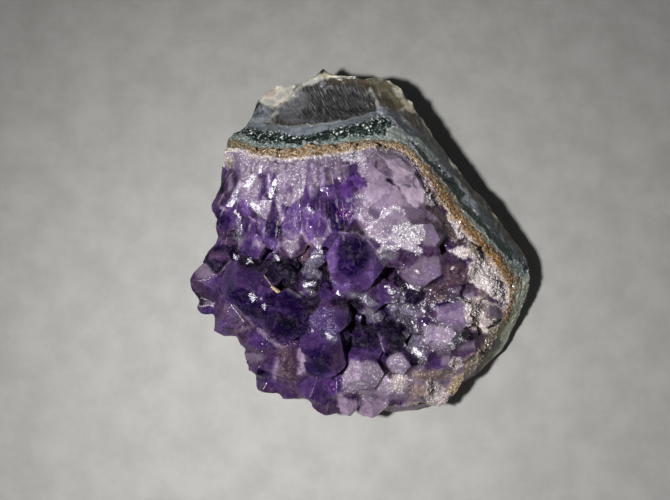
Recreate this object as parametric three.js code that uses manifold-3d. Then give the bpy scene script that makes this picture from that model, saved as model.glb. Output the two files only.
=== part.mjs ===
// A piece of an amethyst geode, lying on its rind with the crystals up, in millimetres, +Z up.
// It is two solids: the banded rind, a bowl of agate with a broken rim, and the crust of amethyst crystals,
// grown together, that lines the bowl. The origin is under the middle of the piece, on its resting face.
import * as THREE from "three";
import { ConvexGeometry } from "three/addons/geometries/ConvexGeometry.js";
import { mergeVertices } from "three/addons/utils/BufferGeometryUtils.js";
import Module from "manifold-3d";

// Driving dimensions
const CRUST_GAP = 0.35; // between the rind and the crust that lines it
const REST_RADIUS = 21; // of the flat that the rind rests on
const REST_CENTRE = new THREE.Vector3(-1, -3, 0);
const BOWL_BOTTOM = new THREE.Vector3(2, -4, 10.5); // lowest point of the rind's inner wall
const BED_TOP = new THREE.Vector3(2, -5, 16); // the same point on the quartz bed that the crystals grow from
const CAVITY_MIDDLE = new THREE.Vector3(-14, -14, 62); // what the crystals point to
const LUMP = 0.9; // height of the lumps on the rind's skin
const LUMP_RISE = 0.4; // of a lump upwards, as a share of its height outwards
const BED_SIDE_INSET = 0.5; // of the bed's side from the rind's inner edge
const BED_SIDE_SHARE = 0.75; // of the bed's rise that its side takes up
const SEAT_DEPTH = 2; // of the quartz bed's underside within the rind, before it is cut clear

// The shell-shaped break in the thick stretch of rim: its depth, its middle and reach counted in rim
// stations, and the share of the rim's width that it ends at
const SCOOP = { depth: 2.6, station: 3.2, reach: 3, edge: 0.62 };

// Places on the piece were read on one level plane and slide along the line of sight to their own height.
const READ_HEIGHT = 22;
const EYE = new THREE.Vector3(-6.35, -33, 171.4);

// How finely the lofted bodies are divided: round the rim, up the walls from their lowest point (in radians,
// to an upright quarter turn) and across the rim's broken face (as shares of its width)
const COLUMNS_PER_STATION = 2;
const UPRIGHT = Math.PI / 2;
const OUTER_WALL_ANGLES = [0, 0.35, 0.7, 1.05, 1.35, UPRIGHT];
const RIM_FACE_SHARES = [0.2, 0.4, 0.62, 0.82];
const INNER_WALL_ANGLES = [1.25, 0.9, 0.5];
const BED_ANGLES = [UPRIGHT, 1.2, 0.8, 0.4];

// Numerical limits: vertices this near are one, faces thinner than a sliver are cleaned away,
// and three planes whose normals span less than the flattest volume have no corner
const MERGE_WITHIN = 1e-3;
const SLIVER = 0.02;
const FLATTEST = 1e-6;

// The broken rim, clockwise from its upper left corner: the outer edge, the inner edge where the crystals
// begin, and how far the quartz bed rises above and stands inside the inner edge.
const RIM = [
  { outer: [-28.7, 33.1, 17], inner: [-32.9, 22.8, 24], rise: 1, inset: 3 },
  { outer: [-25.0, 37.9, 18], inner: [-26.4, 21.3, 26], rise: 0.5, inset: 4 },
  { outer: [-18.2, 41.8, 19], inner: [-19.5, 19.8, 27], rise: 0.5, inset: 5 },
  { outer: [-9.6, 45.0, 20], inner: [-11.8, 19.8, 28], rise: 0.5, inset: 5 },
  { outer: [0.1, 44.3, 20], inner: [-3.1, 21.0, 28], rise: 0.5, inset: 5 },
  { outer: [7.2, 43.0, 20], inner: [4.5, 21.9, 28], rise: 0.5, inset: 4 },
  { outer: [11.7, 37.9, 20], inner: [9.5, 21.7, 27], rise: 0.5, inset: 4 },
  { outer: [16.8, 30.8, 20], inner: [13.3, 17.7, 27], rise: 0.8, inset: 4 },
  { outer: [22.0, 23.1, 19], inner: [17.3, 12.4, 26], rise: 1, inset: 3.5 },
  { outer: [27.9, 15.3, 18], inner: [20.5, 7.9, 25], rise: 1, inset: 3 },
  { outer: [33.8, 7.8, 17], inner: [25.6, 2.5, 24], rise: 1, inset: 3 },
  { outer: [39.4, 0.4, 15.5], inner: [31.0, -3.0, 22], rise: 1, inset: 3 },
  { outer: [41.6, -8.0, 12], inner: [35.5, -9.5, 18], rise: 1.5, inset: 3 },
  { outer: [40.6, -15.6, 8], inner: [35.2, -15.8, 14], rise: 2.5, inset: 2.5 },
  { outer: [38.0, -20.7, 5], inner: [32.7, -20.7, 11], rise: 3, inset: 2.5 },
  { outer: [32.1, -27.4, 4], inner: [27.1, -27.0, 9.5], rise: 3.5, inset: 2 },
  { outer: [23.2, -35.2, 4], inner: [20.6, -34.1, 9], rise: 4, inset: 1.5 },
  { outer: [13.0, -38.5, 4.5], inner: [12.5, -37.0, 9.5], rise: 4, inset: 1.5 },
  { outer: [2.0, -38.0, 5], inner: [2.0, -36.5, 10], rise: 4.5, inset: 1.5 },
  { outer: [-9.0, -36.0, 5], inner: [-9.0, -34.5, 10], rise: 4.5, inset: 1.5 },
  { outer: [-19.0, -32.5, 5], inner: [-18.5, -31.5, 10], rise: 4.5, inset: 1.5 },
  { outer: [-27.0, -25.0, 5], inner: [-26.5, -24.0, 10], rise: 4.5, inset: 1.5 },
  { outer: [-34.0, -16.0, 5.5], inner: [-33.0, -15.5, 10.5], rise: 4.5, inset: 1.5 },
  { outer: [-37.5, -6.0, 6], inner: [-36.5, -6.0, 11.5], rise: 4.5, inset: 1.5 },
  { outer: [-36.5, 4.0, 7.5], inner: [-35.5, 4.0, 14], rise: 4, inset: 1.5 },
  { outer: [-35.0, 14.0, 10], inner: [-34.0, 12.5, 18], rise: 3, inset: 1.5 },
  { outer: [-32.8, 24.5, 13.5], inner: [-33.4, 19.0, 21.5], rise: 2, inset: 2 },
];

// The large crystals: root and tip as read on the level plane, with their heights, and the radius.
const CRYSTALS = {
  // The palisade that runs down from the upper rim, seen from the side
  palisade: [
    [[-31, 19, 20], [-33.5, 10.5, 22], 2.4],
    [[-28, 16, 23], [-33.5, 3, 25], 4.3],
    [[-28, 22, 25], [-26.5, 6.5, 29], 3.1],
    [[-22.5, 22, 26], [-22.5, 6, 30], 2.9],
    [[-17, 22, 26], [-17.5, 9.5, 31], 3.1],
    [[-23, 15, 23], [-21, -1, 27], 3.5],
    [[-28, 12, 20], [-24.5, -3.5, 25], 3.6],
    [[-17, 15, 24], [-16.5, -3.2, 28], 3.5],
    [[-11.5, 20, 25], [-10.5, -1, 30], 4.2],
    [[-12, 23, 27], [-12.5, 11, 31.5], 2.7],
    [[-7, 23, 27], [-7.5, 9.5, 31], 2.9],
    [[-2.5, 23, 27], [-5, 12, 32], 2.7],
    [[-6, 18, 22], [-7, 3, 28], 3.4],
    [[1, 22, 25], [-2.5, 11.5, 34], 3.3],
    [[-2, 15, 20], [-4.5, 6, 30], 2.5],
    [[-31, 8, 15], [-34, -0.5, 19], 3.2],
  ],
  // The pale crystals under the right rim, which lean out from it
  rightWall: [
    [[7, 20, 21], [5.5, 18.5, 32], 2.6],
    [[9.5, 16.5, 20], [7.5, 15.5, 34], 3.6],
    [[13, 11, 19], [10.5, 10.5, 34], 3.7],
    [[7, 18, 18], [2.5, 14, 36], 3.7],
    [[8, 12, 16], [1.5, 7.5, 36.5], 4.1],
    [[15, 8, 16], [5, 3, 37], 5.0],
    [[18, 4, 16], [11.5, 0.5, 36], 4.1],
    [[17, 5, 18], [15, 4, 32], 2.9],
    [[10, 0, 16], [4.5, -3, 34], 2.8],
    [[21, -3, 14], [10.5, -6.5, 33], 4.7],
    [[28, -4, 14], [20, -7, 29], 3.1],
    [[25, -9, 13], [16.5, -12, 26], 3.0],
    [[26, -14.5, 12], [18, -16.5, 30], 4.2],
    [[25, -19, 11], [15.5, -22, 28], 3.7],
    [[18, -12, 13], [10, -15, 27], 3.0],
    [[18, -23, 11], [11.5, -25, 25], 3.3],
    [[22, -26, 9], [14.5, -27.5, 22], 3.4],
    [[28, -22, 10], [21, -24.5, 22], 3.1],
    [[11, -27, 11], [7, -27.5, 24], 2.8],
    [[15, -30, 9], [11, -32.5, 18], 3.2],
    [[19, -31, 8], [15.5, -34, 16], 3.0],
    [[30, -2, 16], [23, -2.5, 29], 2.6],
    [[32, -9, 14], [26, -10.5, 26], 2.8],
    [[31, -15, 12], [26, -17, 23], 2.6],
    [[24, -28, 9], [20, -30, 17], 2.6],
  ],
  // The dark blocky crystals that face the eye, round the hollow in the middle
  middle: [
    [[1, -2, 12], [-1.5, -4.5, 38], 6.2],
    [[0, 5, 14], [-3.5, 3.5, 35], 3.5],
    [[-1, -7, 12], [-3, -10, 32], 3.9],
    [[3, -10, 12], [0.5, -13.5, 29], 3.5],
    [[-9, 1, 13], [-12, -4, 26], 2.5],
    [[-11, 4, 16], [-15.5, -4, 24], 1.9],
    [[-11, -6, 11], [-12.5, -9.5, 24], 3.0],
    [[8, -9, 12], [5, -12, 29], 2.7],
    [[4, -14, 11], [2.5, -17, 21], 3.2],
    [[9, -18, 10], [6, -22, 21], 3.6],
    [[4, -20, 10], [1.5, -22, 22], 3.0],
  ],
  // The crystals along the lower edge
  lower: [
    [[-6, -14, 12], [-8, -16.5, 32], 4.8],
    [[-8, -23, 11], [-9.5, -26, 29], 5.0],
    [[-16, -16, 12], [-19, -17, 31], 5.4],
    [[-16, -24, 11], [-18.5, -28, 25], 4.6],
    [[-20, -24, 10], [-24, -29.5, 19], 4.4],
    [[-19, -28, 9], [-22.5, -33.5, 15], 3.0],
    [[-10, -29, 10], [-12, -35, 20], 4.4],
    [[-5, -28, 10], [-6, -34.5, 20], 4.0],
    [[1, -26, 10], [-0.5, -31, 25], 4.6],
    [[2, -31, 8], [2, -38.5, 14], 4.0],
    [[3, -23, 11], [1, -25.5, 23], 2.4],
    [[9, -31, 8], [9, -37, 13], 3.6],
    [[-15, -31, 9], [-16.5, -35, 15], 2.8],
    [[-8, -32, 9], [-8.5, -38.5, 14], 3.2],
  ],
  // The crystals of the left corner, which hang out past the rind
  left: [
    [[-29, -2, 14], [-36.5, -2.5, 23], 4.2],
    [[-31, -9, 12], [-39.8, -8.5, 20], 4.6],
    [[-24, -10, 12], [-29, -9.5, 30], 5.6],
    [[-22, -12, 12], [-25, -13.5, 30], 4.0],
    [[-26, -15, 11], [-32.5, -18.5, 20], 4.6],
    [[-21, -19, 11], [-26.5, -23, 22], 3.6],
    [[-26, -1, 14], [-28.5, -4, 25], 3.0],
    [[-20, -6, 12], [-23, -8, 27], 3.6],
    [[-31, -12, 10], [-37.8, -14, 16], 2.6],
    [[-17, -4, 12], [-18, -7, 22], 3.0],
  ],
};

// The small crystals that fill the gaps
const FILL_COUNT = 44;
const FILL_RADIUS = { least: 1.2, most: 2.3 };
const FILL_HEIGHT = { least: 4.5, most: 8.5 }; // of the tip above the bed
const FILL_SINK = 3; // of the root below the bed
const FILL_LEAN = 0.35; // sideways, as a share of the length

// A quartz point: six prism faces and a head of six faces, three of them larger
const HEAD_SLOPE = THREE.MathUtils.degToRad(51.8); // between a head face's normal and the crystal's axis
const PRISM_UNEVEN = 0.14; // of the radius
const LARGE_FACE_SET = 0.1;
const SMALL_FACE_SET = { least: 0.08, most: 0.55 }; // how far the three smaller faces stand out

const wasm = await Module();
wasm.setup();

// A repeatable source of random numbers from 0 to 1
function randomSource(seed) {
  let state = seed;
  return () => {
    state = (state + 0x6d2b79f5) | 0;
    let mixed = Math.imul(state ^ (state >>> 15), 1 | state);
    mixed = (mixed + Math.imul(mixed ^ (mixed >>> 7), 61 | mixed)) ^ mixed;
    return ((mixed ^ (mixed >>> 14)) >>> 0) / 4294967296;
  };
}

const between = (random, { least, most }) => least + (most - least) * random();

// Slides a place read on the level plane along the line of sight to the height given
function seen([x, y, height]) {
  const share = (EYE.z - height) / (EYE.z - READ_HEIGHT);
  return new THREE.Vector3(EYE.x + (x - EYE.x) * share, EYE.y + (y - EYE.y) * share, height);
}

// Smooth lumps from -1 to 1 over the rind
function lumps({ x, y, z }) {
  const broad = Math.sin(0.27 * x + 1.1 * Math.sin(0.19 * y)) * Math.cos(0.23 * y + 0.31 * z);
  const fine = Math.sin(0.61 * x - 0.47 * y + 0.8) * Math.sin(0.53 * y + 0.66 * z + 2.1);
  return 0.62 * broad + 0.38 * fine;
}

const loop = (key) =>
  new THREE.CatmullRomCurve3(RIM.map((station) => new THREE.Vector3(...station[key])), true);
const outerEdge = loop("outer");
const innerEdge = loop("inner");

// A number that the rim's stations give, between them
function alongRim(key, turn) {
  const place = turn * RIM.length;
  const index = Math.floor(place) % RIM.length;
  return THREE.MathUtils.lerp(RIM[index][key], RIM[(index + 1) % RIM.length][key], place % 1);
}

// A point moved level towards another, by a length in millimetres
function movedTowards(point, target, length) {
  const way = new THREE.Vector3().subVectors(target, point).setZ(0).normalize();
  return point.clone().addScaledVector(way, length);
}

// A quarter of an ellipse from a low point, level at first, up to an edge that it meets upright
function bowlPoint(low, edge, angle) {
  return new THREE.Vector3(
    THREE.MathUtils.lerp(low.x, edge.x, Math.sin(angle)),
    THREE.MathUtils.lerp(low.y, edge.y, Math.sin(angle)),
    THREE.MathUtils.lerp(edge.z, low.z, Math.cos(angle)),
  );
}

// A closed body through rows of points. Each row gives its point at a share of the turn round the rim,
// and the first and last rows are single points.
function loft(rows) {
  const columns = RIM.length * COLUMNS_PER_STATION;
  const profile = rows.map((row, j) => new THREE.Vector2(j % (rows.length - 1) === 0 ? 0 : 1, j));
  const geometry = new THREE.LatheGeometry(profile, columns);
  const position = geometry.getAttribute("position");
  for (let i = 0; i <= columns; i++) {
    rows.forEach((row, j) => {
      const point = row(((columns - i) % columns) / columns);
      position.setXYZ(i * rows.length + j, point.x, point.y, point.z);
    });
  }
  return solid(geometry);
}

// A manifold solid from a closed geometry
function solid(geometry) {
  const bare = geometry.clone();
  bare.deleteAttribute("normal");
  bare.deleteAttribute("uv");
  const merged = mergeVertices(bare, MERGE_WITHIN);
  const vertProperties = merged.attributes.position.array;
  const triVerts = new Uint32Array(merged.index.array);
  return new wasm.Manifold(new wasm.Mesh({ numProp: 3, vertProperties, triVerts }));
}

// The rind. With a growth it is thicker by that much where the crust meets it, to cut the crust clear.
function rindSolid(growth) {
  const innerAt = (turn, inwards = growth) => {
    const edge = innerEdge.getPoint(turn);
    return movedTowards(edge, BOWL_BOTTOM, inwards).setZ(edge.z + growth);
  };
  const outerWall = (angle) => (turn) => {
    const edge = outerEdge.getPoint(turn);
    const foot = movedTowards(REST_CENTRE, edge, REST_RADIUS);
    const point = bowlPoint(foot, edge, angle);
    const height = LUMP * lumps(point) * Math.sin(angle);
    const rise = LUMP_RISE * height + growth * Math.sin(angle);
    return movedTowards(point, REST_CENTRE, -height - growth).setZ(point.z + rise);
  };
  const rimFace = (share) => (turn) => {
    const outer = outerWall(UPRIGHT)(turn);
    const point = outer.lerp(innerAt(turn, -growth), share);
    const along = Math.min(1, Math.abs(turn * RIM.length - SCOOP.station) / SCOOP.reach);
    const across = Math.min(1, share / SCOOP.edge);
    point.z -= SCOOP.depth * Math.cos(UPRIGHT * along) * Math.sin(Math.PI * across);
    return point;
  };
  const innerWall = (angle) => (turn) => {
    const low = BOWL_BOTTOM.clone().setZ(BOWL_BOTTOM.z + growth);
    return bowlPoint(low, innerAt(turn), angle);
  };
  return loft([
    () => REST_CENTRE,
    ...OUTER_WALL_ANGLES.map(outerWall),
    ...RIM_FACE_SHARES.map(rimFace),
    ...(growth > 0 ? [rimFace(1)] : []),
    (turn) => innerAt(turn),
    ...INNER_WALL_ANGLES.map(innerWall),
    () => BOWL_BOTTOM.clone().setZ(BOWL_BOTTOM.z + growth),
  ]);
}

// A point on the top of the quartz bed, from its middle at angle 0 to its edge at a quarter turn
function bedPoint(angle, turn) {
  const edge = innerEdge.getPoint(turn);
  const top = movedTowards(edge, BED_TOP, alongRim("inset", turn));
  top.z += alongRim("rise", turn);
  return bowlPoint(BED_TOP, top, angle);
}

// The massive quartz that the crystals stand on. Its underside lies within the rind and is cut away later.
function bedSolid() {
  const side = (share) => (turn) => {
    const edge = innerEdge.getPoint(turn);
    const level = edge.z - SEAT_DEPTH + (alongRim("rise", turn) + SEAT_DEPTH) * share;
    return movedTowards(edge, BED_TOP, BED_SIDE_INSET).setZ(level);
  };
  return loft([
    () => BOWL_BOTTOM.clone().setZ(BOWL_BOTTOM.z - SEAT_DEPTH),
    side(0),
    side(BED_SIDE_SHARE),
    ...BED_ANGLES.map((angle) => (turn) => bedPoint(angle, turn)),
    () => BED_TOP,
  ]);
}

// The corners where planes, each a normal and its distance from the origin, close round a convex body
function cornersOf(planes) {
  const corners = [];
  const under = (point) => (plane) => plane.normal.dot(point) < plane.distance + MERGE_WITHIN;
  planes.forEach((a, i) => {
    planes.slice(i + 1).forEach((b, j) => {
      planes.slice(i + j + 2).forEach((c) => {
        const across = new THREE.Vector3().crossVectors(b.normal, c.normal);
        const volume = a.normal.dot(across);
        if (Math.abs(volume) < FLATTEST) return;
        const point = across
          .multiplyScalar(a.distance)
          .add(new THREE.Vector3().crossVectors(c.normal, a.normal).multiplyScalar(b.distance))
          .add(new THREE.Vector3().crossVectors(a.normal, b.normal).multiplyScalar(c.distance))
          .divideScalar(volume);
        const known = corners.some((corner) => corner.distanceTo(point) < MERGE_WITHIN);
        if (planes.every(under(point)) && !known) corners.push(point);
      });
    });
  });
  return corners;
}

// A quartz point from its root to its tip, along +Z before it is turned
function crystalSolid(root, tip, radius, random) {
  const length = root.distanceTo(tip);
  const planes = [{ normal: new THREE.Vector3(0, 0, -1), distance: 0 }];
  for (let side = 0; side < 6; side++) {
    const angle = (side * Math.PI) / 3;
    const prism = new THREE.Vector3(Math.cos(angle), Math.sin(angle), 0);
    const head = prism.clone().multiplyScalar(Math.sin(HEAD_SLOPE)).setZ(Math.cos(HEAD_SLOPE));
    const set = side % 2 ? between(random, SMALL_FACE_SET) : LARGE_FACE_SET * random();
    planes.push({ normal: prism, distance: radius * (1 + PRISM_UNEVEN * (2 * random() - 1)) });
    planes.push({ normal: head, distance: length * Math.cos(HEAD_SLOPE) + radius * set });
  }
  const geometry = new ConvexGeometry(cornersOf(planes));
  const axis = new THREE.Vector3().subVectors(tip, root).normalize();
  geometry.rotateZ((random() * Math.PI) / 3);
  geometry.applyQuaternion(new THREE.Quaternion().setFromUnitVectors(new THREE.Vector3(0, 0, 1), axis));
  geometry.translate(root.x, root.y, root.z);
  return solid(geometry);
}

function largeCrystals() {
  const random = randomSource(11);
  return Object.values(CRYSTALS)
    .flat()
    .map(([root, tip, radius]) => crystalSolid(seen(root), seen(tip), radius, random));
}

function fillCrystals() {
  const random = randomSource(29);
  const made = [];
  while (made.length < FILL_COUNT) {
    const foot = bedPoint(Math.asin(Math.sqrt(random())), random());
    const way = new THREE.Vector3().subVectors(CAVITY_MIDDLE, foot).normalize();
    way.x += FILL_LEAN * (2 * random() - 1);
    way.y += FILL_LEAN * (2 * random() - 1);
    way.normalize();
    const root = foot.clone().addScaledVector(way, -FILL_SINK);
    const tip = foot.clone().addScaledVector(way, between(random, FILL_HEIGHT));
    made.push(crystalSolid(root, tip, between(random, FILL_RADIUS), random));
  }
  return made;
}

// The largest of a solid's separate surfaces, without loose crumbs and pinched-off hollows
const largest = (body) => body.decompose().reduce((a, b) => (b.volume() > a.volume() ? b : a));

function crustSolid() {
  const grown = wasm.Manifold.union([bedSolid(), ...largeCrystals(), ...fillCrystals()]);
  return largest(grown.subtract(rindSolid(CRUST_GAP)));
}

// A three.js geometry from a manifold solid
function geometryOf(body) {
  const { numProp, vertProperties, triVerts } = body.getMesh();
  const points = [];
  for (let i = 0; i < vertProperties.length; i += numProp) {
    points.push(...vertProperties.subarray(i, i + 3));
  }
  return new THREE.BufferGeometry()
    .setAttribute("position", new THREE.Float32BufferAttribute(points, 3))
    .setIndex([...triVerts]);
}

// A named mesh, its slivers cleaned away
function namedMesh(name, geometry, color, roughness) {
  const whole = geometryOf(largest(solid(geometry).setTolerance(SLIVER)));
  const material = new THREE.MeshStandardMaterial({ color, roughness, metalness: 0, flatShading: true });
  const mesh = new THREE.Mesh(whole, material);
  mesh.name = name;
  return mesh;
}

const rindGeometry = geometryOf(rindSolid(0));
const crustGeometry = geometryOf(crustSolid());

// Puts the origin under the middle of the piece
const box = new THREE.Box3();
[rindGeometry, crustGeometry].forEach((geometry) => {
  geometry.computeBoundingBox();
  box.union(geometry.boundingBox);
});
const middle = box.getCenter(new THREE.Vector3());
[rindGeometry, crustGeometry].forEach((geometry) => geometry.translate(-middle.x, -middle.y, 0));

const geode = new THREE.Group();
geode.add(namedMesh("rind", rindGeometry, "#7f7b6c", 0.6));
geode.add(namedMesh("amethyst_crust", crustGeometry, "#6a4a94", 0.15));

export default geode;
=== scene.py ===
"""The looks of a piece of an amethyst geode: a banded agate rind lined with purple quartz crystals.

Lengths are millimetres and become metres when a mesh is made. Places on the piece are read on one level
plane, as the camera sees them, and slide along the line of sight to the surface that is seen there.
"""
import itertools
import math

import bpy
import numpy as np
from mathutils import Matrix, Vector
from mathutils.bvhtree import BVHTree


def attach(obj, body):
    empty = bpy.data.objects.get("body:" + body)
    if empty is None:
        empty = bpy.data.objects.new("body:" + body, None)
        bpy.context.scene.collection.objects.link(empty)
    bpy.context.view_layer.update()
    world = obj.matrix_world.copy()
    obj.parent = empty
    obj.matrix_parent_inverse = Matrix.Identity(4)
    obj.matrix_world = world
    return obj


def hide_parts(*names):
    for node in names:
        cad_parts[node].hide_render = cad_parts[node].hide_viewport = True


MM = 0.001

# Camera and the plane that places are read on
READ_HEIGHT = 22.0
READ_SHIFT = np.array([0.5617, 3.1203, 0.0])  # from the frame's origin to the origin of the places
TARGET = np.array([-6.35, -1.2, READ_HEIGHT]) - READ_SHIFT
DISTANCE = 152.75
TILT = math.radians(12)
EYE = TARGET + DISTANCE * np.array([0.0, -math.sin(TILT), math.cos(TILT)])
FOCAL_LENGTH = 34.925
SENSOR_WIDTH = 36.0

# Name, place, size and power of each light, and the place that it points at
LIGHTS = [
    ("key", (-48.5, -38.0, 171.0), 10.0, 0.38, (50.0, -30.0, 0.0)),
    ("fill", (-20.0, -230.0, 200.0), 420.0, 0.035, TARGET),
    ("top", (60.0, 160.0, 240.0), 400.0, 0.012, TARGET),
]
SKY_COLOUR = (0.85, 0.9, 1.0)
SKY_STRENGTH = 0.022
FLOOR_REACH = 700.0

# Mesh detail
CRUST_VOXEL = 0.27
RIND_VOXEL = 0.45
DRUSE_GRAINS = 6000
RIM_GRAINS = 2000
MOST_TRIANGLES = 195_000
ABOVE_ALL = 60.0  # height from which rays look down

# Materials
QUARTZ_IOR = 1.544
AGATE_IOR = 1.54
ABSORBED_TINT = (0.42, 0.14, 0.72)
ABSORPTION = 600.0

# Lines between the rim's bands: x and y of each place, from the left end over the top and down the right
BAND_LINES = [
    # sugar and ochre
    (-34.5, 22.8, -32, 24, -29, 23.8, -25, 22.2, -21, 21.8, -17, 21.2, -13, 21.9, -9, 22.4, -5, 23.2, -1,
     24, 2, 25, 5, 25, 8, 24.6, 10.5, 23.6, 13, 21.3, 15.5, 18.6, 17.5, 15.5, 19.5, 11.5, 21, 8, 23.5, 4.5,
     27, 0.5, 29.5, -2.5, 32, -6, 34, -9.5, 36, -13),
    # ochre and teal
    (-34, 26, -31, 26.6, -28.5, 25.8, -26, 24.6, -22, 24.2, -15, 23.9, -12, 24.4, -8, 24.9, -4, 25.5, 0,
     26, 4, 26.6, 7, 26.4, 10, 25.6, 12, 24, 14.5, 21.5, 17, 19, 19.5, 16, 21.5, 13, 23.5, 9.5, 25, 7, 28,
     3, 31, -0.5, 34, -4, 37, -8, 39, -11),
    # teal and green
    (-34, 28, -31, 28, -28.5, 27.6, -26.5, 26, -23, 25.2, -19, 25.6, -15, 25.3, -11, 25.6, -7, 26.4, -3,
     27, 1, 27.3, 5, 27.8, 8.5, 27.2, 11, 26, 13.5, 23.8, 16, 21, 18, 18.8, 20.5, 15.8, 22.5, 13, 24.5, 10,
     26.5, 7.2, 29.5, 3.8, 32, 0.8, 35, -2.5, 38, -6, 40, -9),
    # green and blue
    (-33, 30.3, -30, 29.9, -27, 29.4, -24, 28.9, -20, 28.2, -16, 27.3, -12, 27.8, -9, 28.7, -6, 29.6, -3,
     30.2, 0, 30.8, 3, 32.2, 5, 33.6, 7, 32, 9.5, 29, 12, 26.9, 15, 24, 17.5, 21, 20, 18.2, 22, 16, 24,
     13.5, 26.5, 10.5, 29, 7.3, 33, 2.5, 36, -1, 41, -8),
    # blue and agate
    (-33, 31.5, -30, 31, -26, 30.7, -22, 30.2, -18, 29.9, -15, 29.9, -12, 30.5, -8, 31.2, -4, 31.7, 0,
     32.6, 3, 34, 5, 35.2, 7.5, 34.6, 9.5, 32.4, 12, 29.6, 15, 26.6, 17.5, 24, 20, 21, 22, 19, 24, 17, 26,
     14.4, 28.5, 11, 31, 8, 33, 5.5, 35, 3, 38, -0.5, 41, -4),
]
HOLLOW_MIDDLE = np.array([0.0, -6.0])
# Directions from the middle of the hollow between which the bands show, in degrees from +X, and their fading
BANDED = (-22, 150)
BAND_FADE = 8

# Kinds of agate and skin: colour as it looks, how streaked, roughness
RIND_KINDS = {
    "lens": ((80, 78, 79), 1.0, 0.30),
    "haze": ((108, 108, 112), 0.4, 0.30),
    "pale": ((182, 180, 174), 0.3, 0.40),
    "cream": ((215, 208, 190), 0.2, 0.45),
    "peach": ((200, 182, 170), 0.2, 0.45),
    "glassy": ((122, 127, 132), 0.8, 0.15),
    "mist": ((150, 156, 164), 0.3, 0.30),
    "ridge": ((164, 160, 149), 0.3, 0.30),
    "olive": ((104, 97, 76), 0.4, 0.30),
    "umber": ((76, 67, 57), 0.4, 0.30),
    "beige": ((186, 178, 152), 0.3, 0.45),
    "slab": ((190, 186, 172), 0.6, 0.35),
    "coal": ((86, 84, 78), 0.7, 0.30),
    "russet": ((140, 110, 88), 0.3, 0.40),
    "shine": ((250, 242, 218), 0.0, 0.25),
    # black for cracks, and for a painted shadow line along the lower right edge
    "soot": ((14, 13, 12), 0.0, 0.50),
    "blue": ((84, 88, 93), 0.3, 0.30),
    "pine": ((52, 64, 61), 0.2, 0.35),
    "teal": ((142, 150, 142), 0.3, 0.45),
    "skin": ((190, 194, 174), 0.3, 0.45),
    "moss": ((160, 150, 110), 0.5, 0.55),
    "stain": ((114, 92, 60), 0.2, 0.60),
    "quartz": ((118, 98, 124), 0.3, 0.35),
}
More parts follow.
